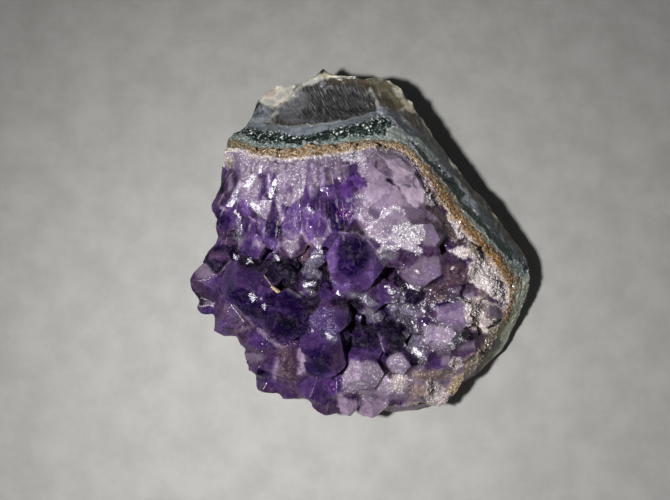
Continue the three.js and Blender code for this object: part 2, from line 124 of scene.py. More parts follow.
# Where each kind shows: its reach, then the x and y of each place of its line. Where the reach is 0, it fills
# the shape that the places go round.
RIND_STROKES = [
    # shell-shaped break at the top
    ("lens", 0, -22, 31, -19, 34.4, -15, 40, -10.6, 41.4, -7, 42.6, 3, 42.4, 4.6, 37.4, 6, 34.6, 2, 33.2,
     -4, 31.4, -12, 30.2, -19, 29.8), ("haze", 2.2, -17.6, 33, -14.8, 36.6),
    ("umber", 1.2, 0.6, 41, 3, 39.6), ("haze", 0.5, -18, 31.4, -12, 31.2),
    ("umber", 0.9, -7, 41.6, -1, 41.6),
    ("cream", 0, -24.8, 35.6, -25.6, 39.4, -22, 42.4, -15.4, 42, -17.6, 37.8, -20.4, 35),
    ("peach", 1.1, -23.8, 38.8, -22.2, 38.4), ("pale", 0.7, -20.4, 37.4, -17.6, 39.4),
    ("pale", 0.6, -23.4, 36.4, -21.4, 36.2),
    ("pale", 0, -15.4, 40.6, -12.4, 42.2, -10, 43.8, -8.6, 43, -10.6, 41.4, -13, 40.4),
    ("beige", 0.35, -19, 40.5, -15, 41.4, -12.4, 42.4, -10.4, 44), ("beige", 0.8, -9.6, 43.4, -8.2, 43),
    ("glassy", 0, -27, 32.4, -25.2, 36, -23.6, 35.6, -21.2, 34, -22.4, 32, -25, 31.8),
    ("soot", 0.3, -26.8, 33, -25, 36), ("soot", 0.2, -25.6, 33, -24, 33.6),
    ("mist", 0.6, -27.4, 31.6, -22.6, 31.4), ("mist", 0.4, -24, 34.6, -22.8, 33.2),
    ("ridge", 0.3, -22.9, 31.2, -20.4, 34.2, -18.7, 35.5, -16.6, 38, -14.6, 40.4),
    ("soot", 0.45, -9.7, 44.3, -9.2, 44.9),
    # olive and dark agate on its right
    ("olive", 0, -1, 42.8, 4, 42.6, 7.6, 41.2, 9.8, 38.6, 11, 35.6, 9, 33.4, 6.4, 34.8, 5.2, 37.6, 3.4,
     40.4), ("umber", 0, 4.6, 39.6, 6.4, 38.4, 8.6, 35.6, 9, 33.4, 6.4, 34.6, 5, 37),
    ("slab", 0.6, 8.4, 40, 10, 37.6), ("ridge", 0.35, 2.4, 39.6, 3.8, 36.6, 4.2, 35, 6, 33.2),
    ("coal", 0, 9, 33.6, 12, 34.4, 16, 31.4, 16, 28, 12.6, 29.4),
    ("coal", 0, 13, 29.4, 16, 31, 20.4, 26, 24, 21, 28, 16, 33, 9, 38, 1, 38, -4, 33.6, 1.6, 28.6, 8.6, 22,
     17.6, 17.6, 23.6), ("slab", 0, 15.2, 31, 17.6, 30.4, 20, 27, 19.4, 25.6, 16.6, 28.2),
    ("slab", 0, 21, 23, 23, 21.6, 25.4, 18.4, 24, 17.6, 21.6, 20), ("russet", 0.45, 25.4, 17.4, 28.4, 13.2),
    ("beige", 0, 30.8, 9.4, 33.6, 8.4, 35, 5, 33.4, 5, 31.4, 7.4),
    ("beige", 0, 10.6, 37.4, 12.8, 36, 14.2, 33.6, 12.4, 33, 10.8, 34.6, 10, 36.4),
    ("beige", 0.25, 14.8, 32, 15.4, 30.6), ("ridge", 0.3, 15.4, 31.4, 17.8, 30.2, 20.4, 26.4),
    ("ridge", 0.25, 20.8, 23.8, 23, 22, 23.8, 19.4), ("ridge", 0.25, 24.4, 18.8, 27.2, 16.6, 30.8, 10.8),
    ("umber", 0.4, 22.6, 17.4, 26.4, 13.4), ("peach", 1.3, 3, -39, 10, -38.8, 17, -37.4),
    ("stain", 0.5, 5, -38.6, 8, -38.8),
    # thin bright edge, a painted highlight
    ("shine", 0.22, -8, 43, -4, 43, 0, 43.2, 3.6, 43, 6, 42.2, 8.8, 40.8, 10.2, 38.6),
    ("shine", 0.2, 12, 36.6, 13.6, 34.8),
    # bands on the right: pale patch at the bend, dark cracks, blue stripe
    ("pine", 0.6, 14.5, 22.8, 18, 18.6, 21.4, 14.4, 24, 10.4, 27, 6.4, 31, 1.4, 35, -3.4),
    ("teal", 0, 6.6, 29.4, 9.6, 29.6, 11.6, 27, 9.4, 26.2, 6.4, 27.2), ("mist", 0.5, 4.4, 34.4, 6, 32.6),
    ("blue", 0, 6, 34.2, 8, 34.4, 11, 30.8, 15.6, 26.6, 19.8, 21.8, 23, 17.6, 21.8, 16.8, 17.4, 22, 13,
     26.4, 9, 30), ("blue", 0, 26.6, 10.6, 28.4, 9.6, 33, 2.4, 38, -3.4, 37, -5, 31.8, 1.6, 27.6, 7.6),
    ("pine", 0.5, 12.6, 25.4, 16, 20.9), ("teal", 0.5, 13.6, 26.4, 17.4, 22),
    ("teal", 0.35, 16.4, 21.3, 18.6, 21.3), ("pine", 0.9, 21.6, 16, 24.2, 11.6),
    ("soot", 0.25, 19.2, 16.4, 22.4, 14.8), ("mist", 0.8, 24.8, 11.2, 26.6, 9.6),
    ("pine", 0.8, 24.8, 8.6, 27.8, 6), ("pine", 0.4, 28.4, 5.4, 31.4, 1.4, 34.4, -1.4),
    ("teal", 0.5, 24.4, 7.6, 28.6, 3.4),
    # quartz that has run down over the skin at the left and the bottom
    ("quartz", 5, -38, -17, -31, -24, -26, -33, -14, -41, 2, -42, 13, -40),
    # skin at the lower right, with a painted black shadow line along its outer edge
    ("skin", 4, 42, -10, 36, -15, 29, -26, 19, -37), ("moss", 1.3, 33.4, -16, 27.5, -24.5, 21.5, -32),
    ("stain", 1, 22.6, -30, 19.6, -33.6), ("soot", 0.4, 36.4, -19, 30, -27.6, 22.6, -34.6, 17.6, -38),
]
# Raised edges of the shell-shaped break at the top
RIDGES = [
    ((-22.3, 31.2), (-18.7, 35.3)), ((-18.7, 35.3), (-15, 40)),
    ((2.3, 39.7), (3.8, 36.3)), ((3.8, 36.3), (5.6, 33.4)),
]
# Nub on the edge of the break: foot and tip
NUB = (-9.4, 41.4), (-9.3, 45.6)

# Kinds of crystal: colour as it looks, how clear, how sparkling, roughness, how crumbly
KINDS = {
    "milk": ((143, 127, 145), 0.12, 0.34, 0.30, 0.20),
    "blush": ((148, 130, 148), 0.12, 0.20, 0.34, 0.04),
    # Painted light: a lighter copy of blush for where the field turns from the key light
    "petal": ((214, 192, 210), 0.12, 0.20, 0.34, 0.04),
    "lilac": ((133, 113, 142), 0.25, 0.25, 0.24, 0.10),
    "rose": ((153, 132, 153), 0.20, 0.22, 0.30, 0.12),
    "mauve": ((125, 109, 126), 0.30, 0.15, 0.22, 0.08),
    "wine": ((71, 46, 78), 0.35, 0.08, 0.24, 0.04),
    "grape": ((100, 70, 127), 0.40, 0.25, 0.12, 0.06),
    "violet": ((70, 44, 95), 0.45, 0.08, 0.20, 0.04),
    "royal": ((80, 46, 110), 0.35, 0.06, 0.18, 0.02),
    "indigo": ((25, 2, 58), 0.50, 0.04, 0.16, 0.02),
    "ink": ((16, 2, 38), 0.50, 0.04, 0.14, 0.02),
    "smoke": ((24, 17, 34), 0.55, 0.06, 0.12, 0.02),
    "ember": ((97, 73, 83), 0.50, 0.25, 0.12, 0.15),
    # Painted reflections: grey and pale sheen on facets
    "slate": ((112, 106, 119), 0.50, 0.32, 0.10, 0.10),
    "silver": ((114, 107, 129), 0.15, 0.40, 0.10, 0.10),
    "spangle": ((80, 58, 108), 0.30, 0.28, 0.15, 0.12),
    "frost": ((180, 171, 179), 0.05, 1.00, 0.22, 0.50),
    "spark": ((93, 81, 97), 0.30, 0.55, 0.15, 0.25),
    "sugar": ((214, 204, 198), 0.05, 0.80, 0.28, 0.75),
    "cream": ((196, 176, 144), 0.05, 0.60, 0.35, 1.00),
    "tan": ((182, 169, 164), 0.08, 0.60, 0.30, 0.65),
    "rust": ((127, 107, 97), 0.30, 0.30, 0.22, 0.35),
    "ochre": ((168, 148, 120), 0.05, 0.45, 0.50, 1.00),
    "amber": ((164, 122, 70), 0.05, 0.45, 0.45, 1.00),
    "brown": ((112, 88, 60), 0.05, 0.35, 0.50, 1.00),
    "olive": ((142, 132, 112), 0.20, 0.25, 0.40, 0.60),
    "magenta": ((74, 20, 95), 0.35, 0.35, 0.15, 0.15),
    # The glint kind marks painted highlights
    "glint": ((236, 230, 238), 0.00, 0.00, 0.10, 0.00),
}
# Where each kind shows, written as for the rind
STROKES = [
    # broad ground at the lower right
    ("wine", 9, 14, -8, 22, -20), ("mauve", 6, 22, -27, 8, -33),
    ("spark", 0, 9, -9, 16, -9, 24, -12, 24, -20, 22, -28, 12, -28, 9, -24, 6, -14),
    # palisade under the thick rim, from the left
    ("milk", 3, -31, 21.5, -7, 20.5), ("milk", 2.6, -28.4, 20, -26.5, 12), ("milk", 3, -17.4, 20, -17.2, 13),
    ("lilac", 0.8, -30, 19.6, -29, 17.4), ("mauve", 0.35, -28.2, 19.6, -27.6, 18.4),
    ("mauve", 0.3, -26.8, 19, -26.4, 17.6), ("tan", 0.9, -32.4, 22, -31.4, 20.2),
    ("olive", 0.6, -32.2, 20.8, -31.6, 19.6),
    ("wine", 0, -31.8, 18.8, -33, 16.6, -34, 13.4, -33.6, 12, -30.4, 12, -29.6, 16.8, -30.4, 18.4),
    ("smoke", 0.5, -33.4, 15.6, -33.6, 13), ("lilac", 0.5, -31.6, 15.8, -31.4, 13.8),
    ("lilac", 1.2, -27.5, 13, -25.5, 11),
    ("violet", 0, -34.9, 8.6, -33.4, 10.6, -31.2, 12, -29.4, 11.4, -28.2, 6.4, -30.2, 4, -32.6, 3.4, -34.6,
     5), ("indigo", 0, -34.8, 8, -33, 8.4, -31.2, 6.4, -31, 4.4, -32.4, 3.8, -34.6, 5),
    ("lilac", 0.45, -33.6, 9.6, -32.6, 8.6),
    ("wine", 0, -33.8, 3.4, -33.8, 0.2, -30.6, -0.2, -27.4, 0.6, -27.8, 3.4, -30.6, 3.8),
    ("silver", 0.7, -29.4, 6, -28.6, 3.4), ("slate", 1.1, -29.6, 2.8, -28.4, 1.2),
    ("grape", 0.8, -28.6, 11, -27.4, 8.4),
    ("milk", 0, -27.6, 12, -26, 9, -24.6, 7, -22.6, 6.2, -21.6, 8, -21.4, 10.4, -23, 13, -25.6, 14),
    ("grape", 0.45, -23.8, 14.8, -24.2, 11.6), ("violet", 0.6, -20.9, 10.6, -20.9, 5.4),
    ("lilac", 0.6, -22.4, 18, -22.2, 13.4),
    ("milk", 0, -20.4, 21, -14.4, 20.8, -13.5, 17.6, -13.6, 14.6, -14.8, 11.6, -16.8, 9.4, -18.8, 9.8,
     -20.2, 12.6), ("lilac", 1, -18, 15.4, -17.6, 13.2), ("mauve", 0.35, -18.2, 20, -18.4, 18.6),
    ("frost", 0.3, -13.9, 18, -13.7, 14.8, -14.8, 11.8),
    ("lilac", 0, -13.2, 21, -9.6, 20.6, -9.8, 16, -10.8, 12, -12.4, 11.2, -13.2, 14),
    ("milk", 0.3, -11.2, 19.4, -10.8, 14.6), ("lilac", 0, -9.4, 20, -5.4, 19.2, -5, 17, -8, 14.8, -9.8, 15),
    ("mauve", 0.9, -8.6, 18.6, -7, 16.6), ("milk", 0.3, -9.4, 19.4, -7, 19.4, -5.4, 17.6),
    ("violet", 0, -9.6, 14.8, -5.4, 16.2, -4.6, 12.8, -5.2, 9.4, -8, 9.4, -10.2, 11.8),
    ("grape", 0.9, -9, 13, -7.6, 11.6), ("indigo", 1.6, -6.8, 9.2, -5.4, 4.8),
    ("magenta", 1.4, -4.2, 8.8, -3.4, 7.2),
    ("grape", 0, -26.6, 6.4, -22.8, 6.2, -20.8, 4, -19.4, 1, -21, -2.4, -22.6, -3.4, -24.6, -1, -26.4, 1.6),
    ("violet", 1, -25.4, 4.6, -24.6, 3), ("lilac", 0.8, -25, 0.4, -23.6, -0.6),
    ("lilac", 0.25, -26.6, 6.8, -25, 5.6, -23, 5.4),
    ("indigo", 0, -23, 5.4, -21.2, 6.2, -19.2, 4.6, -18.6, 2.2, -20.6, 1.2, -22.8, 2),
    ("grape", 0, -18.8, 9.2, -15.2, 10.4, -14.2, 6, -14.8, 2, -18.6, 3, -19, 6),
    ("milk", 0.6, -20.1, 11, -18.8, 6.4),
    ("milk", 0, -18.6, 2.4, -15, 1.8, -14.8, -0.4, -16.6, -3.2, -18.6, -0.4),
    ("lilac", 0.7, -17.4, 3.4, -16, 2.6),
    ("grape", 0, -14.2, 8.8, -9.6, 9.6, -7.8, 5.8, -7.9, 3, -10.2, -0.4, -13, 0.8, -14.6, 3.8),
    ("royal", 1.2, -11, 6, -9.8, 4.4), ("lilac", 0.4, -7.9, 6.4, -7.9, 3.2, -10, 0, -12.8, 0.9, -14.4, 3.4),
    ("silver", 0.7, -13.2, 9, -11.8, 8.3), ("milk", 0.5, -10.8, 1.4, -9.4, 1.4),
    ("lilac", 0.5, -19.2, 0.2, -20.4, -1.8),
    # between palisade and the pale field
    ("frost", 1.4, -3.2, 22.2, -0.2, 21.4),
    ("milk", 0, -1.4, 20.8, 1.6, 20.8, 3.4, 15.4, 1.8, 15.2, -0.4, 18.6), ("mauve", 1, -4.8, 20, -3.6, 18.4),
    ("violet", 0.9, -5, 13, -3.4, 10),
    ("royal", 0, -3.8, 17.4, -1.6, 18.8, 0.6, 16.8, 1.8, 14.3, 0.9, 12.4, -2, 10.8, -4.6, 11.8, -5.2, 13.8),
    ("silver", 0.3, -3.4, 10.9, -2, 11.5),
    # pale field under the diagonal rim
    ("rose", 0, -1.4, 12.6, 2, 15.6, 2.4, 23.8, 11, 23.2, 15.2, 18.4, 15.2, 9.6, 9, 8.4, 3, 4.2, 0, 3.4,
     -2, 7), ("milk", 1.6, 2.6, 22.6, 10.4, 22.4),
    ("blush", 0, 1.6, 13.8, 4.4, 15.8, 8.6, 13.8, 8, 10.4, 4.4, 10.4, 2, 11.6),
    ("lilac", 0, 5, 19.4, 9, 20, 10, 17, 8.4, 15.8, 5.6, 16.6),
    ("milk", 0, 9.4, 19.8, 13.4, 19.8, 15, 17, 13, 16.6, 10.2, 16.4),
    ("mauve", 0, 10.2, 15, 12.6, 16.8, 14.8, 16.8, 14.8, 14.8, 12.4, 15),
    ("blush", 0, 8.6, 13.2, 12, 14.4, 15, 14, 15.2, 10, 10.4, 9.2, 8.2, 10.6),
    ("lilac", 1.6, 11, 12.4, 13.4, 12),
    ("milk", 0, -1.8, 12.6, 1.6, 12.8, 3.2, 9.4, 4.8, 8.6, 3.8, 6.4, 1.6, 4.2, -1, 5.8),
    ("mauve", 0.8, 3.2, 8.2, 3.8, 7.4), ("mauve", 0, 10.8, 9, 14.8, 9.8, 15.4, 6, 13.6, 4.6, 10.6, 6.2),
    ("milk", 0, 0, 2.7, 5.6, 7.6, 7.6, 9, 10.4, 8.2, 10.4, 6, 15, 4.6, 15.4, 2, 13.4, 0.2, 8, -0.8, 5.4,
     -1, 3, 0), ("blush", 0, 4.6, 6, 7.4, 8.4, 9.8, 7.6, 9.6, 5.8, 6.6, 4.8),
    ("frost", 0.3, 0, 2.9, 5.6, 7.6, 7.6, 8.8, 10, 8.2),
    ("frost", 0, 8.2, 4.6, 11, 5.8, 14.6, 4.4, 15, 2, 13.2, 0.2, 8.6, -0.4, 6.6, 1.6),
    ("frost", 0.7, 2, 1.8, 4.6, 1.4),
    ("slate", 0, 2.9, -3.4, 4.6, -1, 7.6, -0.8, 8.4, -2, 6.2, -4.4, 4.2, -4.8),
    ("frost", 0.45, 3.4, -1.8, 5.4, -0.7, 8.4, -0.7), ("frost", 0.8, 10.6, -0.4, 13, -1),
    ("mauve", 0, 15.2, 4.8, 19, 4.6, 20, 1.4, 17, -0.2, 14.4, 0.4), ("lilac", 0.8, 15.8, 2.8, 17.4, 1),
    ("indigo", 0.5, 18.2, 3.6, 19, 3.2),
    # painted light: lighter blush where the field turns from the key light
    ("petal", 0, 6, 20.6, 9, 21.4, 12.6, 18.8, 14.8, 15.4, 15, 10.6, 12.2, 9.6, 9.4, 12, 7.8, 15.2),
    ("blush", 0, 9.8, 17, 13.4, 17.6, 14, 15.6, 11.4, 15),
    # druse along the right rim
    ("tan", 0, 15, 18.8, 17.4, 16.6, 19.6, 13.6, 20.8, 10.6, 18.4, 9.6, 15.2, 10, 15, 14),
    ("rust", 0.5, 15.8, 13.4, 18, 12.2), ("frost", 0.7, 16.2, 15.8, 16.8, 14.6),
    ("frost", 0.6, 15.8, 11.6, 16.6, 10.8), ("rust", 0.6, 18.6, 15, 19, 11),
    ("ember", 0, 15, 9.6, 18.4, 9.4, 20.2, 6.6, 20.4, 3.4, 18.6, 4.4, 15.2, 5),
    ("mauve", 0.8, 16, 7.4, 17, 6.2),
    ("sugar", 0, 20.4, 7.8, 21.8, 6.2, 25.4, 3.9, 27.2, 1.6, 25.4, 0.4, 22.4, 0.8, 21, 3.2, 20.2, 5.6),
    ("rust", 0.7, 20.3, 4.6, 21.4, 1.4),
    ("tan", 0, 24.4, 1.4, 27.4, 2, 30, -1, 30, -4.4, 27, -4.6, 24.8, -2.4),
    ("ember", 0.4, 20.8, 0.2, 24.2, 0.1), ("ember", 0.35, 22.6, 0.8, 24.6, 1.6),
    ("olive", 0.7, 25.4, -0.4, 26.6, -1.8),
    ("sugar", 0, 20.2, -1.2, 23.6, -0.4, 25.4, -1.2, 24.4, -3.4, 22.6, -2.8), ("tan", 0.8, 26, 6, 24, 8),
    ("ochre", 1, 22.6, 7.4, 27.4, 3.2, 30.4, -0.6),
    ("ochre", 0, 29.8, -1.4, 31.4, -1, 35, -4.6, 37, -9.4, 33.6, -9, 31, -6.8, 29.6, -4.6),
    ("tan", 0.7, 31, -2.6, 33, -4.8), ("sugar", 0.4, 30.4, -4.4, 32.6, -7),
    ("rust", 0.3, 31.8, -4.8, 33.6, -6.4),
    ("sugar", 0, 24.2, -3.8, 27.6, -4, 30.6, -5.2, 33.6, -8.6, 37, -11, 37, -14, 32, -13.6, 29, -11.4,
     26.6, -9.4, 24.6, -8), ("ember", 0.5, 24.2, -8.8, 26.4, -11), ("mauve", 1, 22, -10.6, 25, -11.8),
    ("rust", 0.6, 27.4, -10.8, 28.6, -12.6),
    ("tan", 0, 23.4, -12.8, 27, -12, 30, -13.8, 36, -14.6, 33.4, -17, 30.6, -20, 28, -21, 24.6, -19.6, 23,
     -17), ("sugar", 0.7, 24.4, -14.4, 26.4, -16.6), ("rust", 0.6, 27.6, -14, 29, -17),
    ("mauve", 1.2, 30, -15.6, 31.6, -16.2), ("sugar", 0.6, 25.4, -18.6, 28, -20),
    # big crystal in the middle
    ("smoke", 0, -5.8, 3, -4.6, 5, -2, 5.2, 0.2, 3.4, -0.4, 1.6, -5, 1.4),
    ("wine", 0.5, -3.4, 4.4, -1.4, 4.2),
    ("violet", 0, -7.6, 1.4, -5, 3, -1, 2.8, 2.2, 0, 4.4, -5, 3.4, -9.6, 0, -11.2, -5, -11, -8.4, -7.6,
     -9.2, -3), ("indigo", 0, -4.8, 1.6, 0.8, 1.2, 1.8, -2, 0.8, -6, -2.6, -8, -5.6, -6, -5.8, -1),
    ("ink", 1.6, -3.6, -1.2, -1.4, -3.8), ("grape", 0.9, -6.8, -2, -7, -6),
    ("grape", 0.8, -6, -9.2, -2.4, -10), ("spangle", 0.9, -7, -8, -5.6, -9.8),
    ("grape", 0.7, 2.4, -4, 2, -8), ("royal", 0.5, -5.6, 1.4, -6.4, -1),
    ("lilac", 0.2, -5.4, 3, -1, 2.9, 2.2, 0.2, 4, -3.4),
    ("slate", 0, -4.3, -11.4, -0.2, -11.2, 2.3, -12.3, 4.1, -13.9, 2, -14.8, -0.8, -13.6),
    ("silver", 0.8, -0.4, -12.4, 1.8, -13.6),
    # dark hollow at the left: near-black, partly the crystals' colour, partly painted shade
    ("smoke", 0, -28.4, -2, -22, -3.4, -15, -2.4, -12.6, -4, -13.6, -7, -15, -10, -19, -11, -22, -8, -24.6,
     -6.4, -28.4, -5.4),
    ("ink", 0, -38, -3.6, -37.3, -1.8, -34.8, -0.1, -29.9, 0, -28.5, -2, -31.8, -4.9, -34.3, -6.9, -36, -5),
    ("wine", 1, -34.6, -2.4, -32.4, -2.6), ("ember", 0, -15.4, -2.6, -12.6, 0.9, -11.4, 0.3, -13.4, -4.6),
    ("silver", 0, -13.4, -5, -10.8, -0.4, -9.2, -1.2, -9.1, -3.9),
    ("slate", 0, -14.6, -6.2, -13, -5, -9.2, -4.2, -8.7, -7.6, -12, -7.9),
    ("wine", 0.7, -19.2, -1.6, -18, -2.4), ("slate", 0.6, -19.4, -2.8, -20.4, -3.6),
    ("smoke", 0, -14.2, -7.6, -10, -8, -9.2, -11.4, -11.6, -11, -13.6, -10.4),
    ("silver", 0.5, -13.4, -9.4, -11.2, -9.4), ("slate", 0.9, -16.4, -11, -14.4, -12),
    ("slate", 0.6, -12.8, -10.6, -11.4, -11.6),
    ("smoke", 0, -16, -12.8, -10, -12, -9.6, -14, -12, -19, -13.6, -20.4, -14.4, -16),
    ("smoke", 0, -8.2, -13.2, -6, -12.4, 0, -12.6, 0, -15, -4.6, -15.4),
    # left and lower left
    ("mauve", 0, -38.6, -5.4, -36.4, -4.6, -33.6, -7.4, -34.4, -9, -38, -9.4),
    ("wine", 2.2, -37.6, -9.8, -36, -13.4), ("smoke", 0.6, -38, -11.6, -37, -14),
    ("violet", 2.4, -34, -9.6, -31, -12), ("violet", 2.1, -30.4, -7.6, -24.6, -8.8),
    ("indigo", 1.6, -30, -11, -28, -12),
    ("indigo", 0, -29, -11.6, -25, -11.6, -22.6, -14, -23.4, -17, -26.6, -16.4, -29.4, -14),
    ("violet", 1.2, -24.4, -10, -22, -11), ("wine", 1.6, -34, -14.6, -32, -17),
    ("violet", 1.2, -35.4, -15.4, -33.4, -18), ("violet", 1.6, -32.4, -19, -29.4, -18.4),
    ("ink", 0.6, -30.6, -19.4, -30, -20), ("wine", 2.2, -28.6, -18, -25.6, -21),
    ("mauve", 0.3, -29.7, -14.2, -25.1, -18.9), ("mauve", 0.9, -28.6, -20.6, -26.4, -20.2),
    ("wine", 1.6, -30, -22, -25.6, -21.6), ("mauve", 0.18, -33.4, -6.8, -30.7, -3.8),
    ("indigo", 0, -22.4, -11.6, -18, -11.4, -14, -13, -12.8, -17, -13.4, -21, -17, -22, -21.6, -19.6,
     -23.2, -16), ("ink", 1.5, -19, -17, -16, -18.6), ("violet", 0.35, -22, -15.2, -17, -15.4),
    ("violet", 1.8, -24, -21.6, -20.4, -22.6), ("violet", 1.2, -17, -22, -14, -23),
    ("mauve", 0.4, -24, -20, -18, -24.4), ("magenta", 0.6, -17.4, -23.6, -15.4, -23),
    ("wine", 0, -27, -25.6, -25, -24, -20.6, -24.4, -20.8, -28, -25.4, -28.6),
    ("mauve", 1, -26, -26, -23.6, -26), ("violet", 2, -25, -29.8, -22, -31),
    ("ink", 0.8, -23.6, -29.4, -22.4, -29.8), ("wine", 1.2, -22.6, -33, -20, -33.6),
    ("ember", 2.3, -18, -26.4, -16.8, -30.6), ("lilac", 0.45, -19.4, -26.4, -20.3, -31),
    ("rose", 0.9, -14.2, -25.4, -13.8, -29.4), ("wine", 1, -17.8, -31, -15.8, -33),
    ("violet", 1.5, -12, -23.4, -8, -23.6),
    ("indigo", 0, -13, -24.4, -9.6, -23.6, -7, -25.6, -7, -28.6, -9.6, -30.4, -12.4, -29.6),
    ("ink", 1.4, -10.4, -26.8, -9.2, -28), ("wine", 1.8, -16, -32.6, -13, -34),
    ("violet", 2, -12.6, -32.6, -9, -34.6), ("royal", 1.2, -8.4, -31.6, -6.4, -33.6),
    ("magenta", 0.5, -7.6, -32, -6.8, -33), ("wine", 1.6, -13, -37, -6, -38.4),
    ("rose", 1, -4.8, -34.6, -4.6, -37),
    # speckled crystal below the middle
    ("spangle", 0, -12.2, -17.4, -9.8, -14, -7, -15.2, -4.6, -15.6, -4.2, -19, -5.8, -23.6, -8.6, -22.4,
     -11, -21, -12.4, -19), ("indigo", 0.7, -9.2, -21, -8.2, -21.8),
    ("silver", 0.6, -8.4, -20.8, -6.8, -22.4), ("violet", 0.9, -5.2, -17, -5, -21),
    # dark hollow below the middle: near-black, partly the crystals' colour, partly painted shade
    ("ink", 0, -4, -16.4, 0, -18.4, 4.6, -18.6, 4.8, -20.4, 3.4, -23.8, 0, -24.2, -4.2, -23.6),
    ("smoke", 0, 4.6, -16.6, 10.6, -19.8, 9.2, -22.6, 8.8, -24.8, 5.4, -26.4),
    ("ink", 0.4, 5.2, -20.2, 9.6, -20), ("slate", 0, 0.2, -15, 3.4, -15.2, 5.2, -17, 3.6, -18.4, 1.2, -17.8),
    ("silver", 0.2, 3.7, -21, 4.8, -25), ("silver", 0.3, 0.2, -15.6, -0.8, -17.6),
    ("slate", 0, 5.3, -13.6, 9.6, -13.4, 13.4, -16.4, 11.4, -18, 6.6, -16.4),
    ("silver", 0.5, 6, -14.2, 8.2, -15), ("silver", 0.4, 9.8, -15.2, 12.4, -16.6),
    ("slate", 0, 8.9, -20.6, 13.4, -20.2, 14, -23.4, 11.4, -24, 9.4, -23.6),
    ("ink", 1.1, 9.8, -25.4, 11.4, -27),
    # lavender crystals at the right
    ("mauve", 0, 9, -5.4, 13.5, -2.2, 15.4, -3, 18.2, -2.6, 18.8, -5.8, 16.2, -8.6, 13.2, -9.6, 10.6, -9,
     8, -7), ("lilac", 1.3, 15.4, -5.6, 16.8, -7), ("lilac", 0.9, 12, -7.8, 14.2, -8.6),
    ("wine", 1, 10, -4.6, 12.4, -3.8), ("wine", 1.6, 6.4, -4.8, 8, -7),
    ("wine", 0, 18.2, -1.6, 20, -1.2, 24.6, -4, 23.6, -5.4, 20, -4.8),
    ("ember", 0, 19.4, -4.6, 23.8, -5, 25.2, -7.6, 23.4, -9.4, 20, -9.4, 18.8, -7.4),
    ("smoke", 0, 7.4, -7.2, 8.8, -7, 11.2, -9.8, 10, -10.8, 7.8, -9),
    ("ink", 0, 10.2, -10.4, 14.8, -10.6, 14.6, -12.8, 12, -14.4, 10, -13.6),
    ("ember", 0, 15.6, -9.4, 19.8, -9.2, 20, -11.8, 17.6, -13.4, 15.6, -12.8),
    ("silver", 0.4, 8.6, -12, 9.4, -13), ("rust", 0.5, 17.6, -12.8, 19, -12.4),
    ("violet", 0, 12.6, -16.8, 15.8, -17, 16.4, -18.8, 13.2, -19.4),
    ("lilac", 0, 16.8, -14.8, 19.6, -14, 22.8, -13.2, 23.2, -17, 22.6, -18.8, 19, -18.8, 17, -17.4),
    ("indigo", 0.4, 17.2, -14.2, 19.6, -13.6), ("wine", 0.7, 14.6, -15, 16.4, -16.2),
    ("milk", 0, 13.8, -19.6, 16, -18.9, 19.8, -19.2, 20.8, -21.4, 19.6, -24, 16.4, -24.4, 14.4, -22.6),
    ("lilac", 0.5, 16.2, -20, 15.8, -23), ("mauve", 0.8, 20.8, -19.6, 22.6, -19.4),
    ("smoke", 0, 22.8, -20.2, 26.4, -20.4, 26.8, -21.8, 24.4, -23, 22.4, -21.8),
    ("silver", 0.4, 21, -21.6, 22.6, -22.4),
    ("wine", 0, 20, -24, 23.4, -23, 27.6, -22.4, 27.4, -24.8, 23.8, -26.4, 20, -25.8),
    ("mauve", 0.6, 22, -24, 25, -23.4),
    ("violet", 0, 14, -24.8, 17, -24.6, 19, -27.6, 16.6, -29, 14.2, -28.4),
    ("mauve", 0, 16.8, -24.2, 19.6, -24.6, 19.4, -27, 18, -27.8),
    ("rust", 0, 18.6, -29, 22.6, -29, 19.8, -30.6, 11.6, -31.6, 10.8, -29.4, 15, -28.8),
    ("tan", 0, 19.4, -26.6, 22, -26.2, 23, -27.6, 20.8, -29, 19.2, -28),
    ("olive", 1, 30, -20.4, 26.4, -25.8, 23.8, -29), ("rust", 0.7, 25, -25.6, 23, -27.2),
    ("ochre", 0, 23, -29.4, 20.2, -30.6, 18.4, -33.6, 20, -34.6, 22.4, -32),
    # pale crystals at the bottom
    ("milk", 0, -4.6, -30.4, -2.8, -27.2, 2, -27, 4.8, -29, 6.4, -33, 4.6, -36, -3, -36, -5, -33),
    ("mauve", 1.2, 1.4, -33.6, 4, -34.4), ("milk", 0, 5.2, -26.6, 8, -24.8, 10, -27, 9.4, -30, 6.6, -29.6),
    ("violet", 0, 0.2, -24.6, 3.2, -24.6, 5, -27.2, 2.6, -27.8, 0, -26.6),
    ("rose", 0, -5.8, -35.4, 10, -36.2, 9.6, -39, -4, -40), ("wine", 0.8, -3.8, -34.6, -1.6, -35),
    ("wine", 0.8, 6.2, -36.2, 8.2, -36), ("ember", 0.5, 5.6, -28.8, 6.4, -30),
    ("tan", 0, 6.2, -30.2, 9.6, -29.8, 10, -32, 8.8, -33.8, 6.4, -33),
    ("rust", 0, 9.8, -32.4, 14, -32, 14, -35, 10.6, -35.6),
    ("tan", 0, 14.2, -31.2, 17, -31.8, 19.2, -34, 18.4, -38, 15.4, -38, 13.6, -34.4),
    ("olive", 0.7, 10.8, -36.6, 14.6, -36.8), ("rose", 0.7, 8, -37.6, 10, -37.4),
    # black crack in the pale field
    ("smoke", 0.45, 6.2, 15.9, 7.3, 15.3), ("smoke", 0.22, 7.6, 15, 8.2, 14.8, 9.3, 13.5),
    ("smoke", 0.2, 3.9, 20.7, 3.4, 19.2), ("mauve", 0.25, 10.4, 14.9, 12.8, 14.3),
]
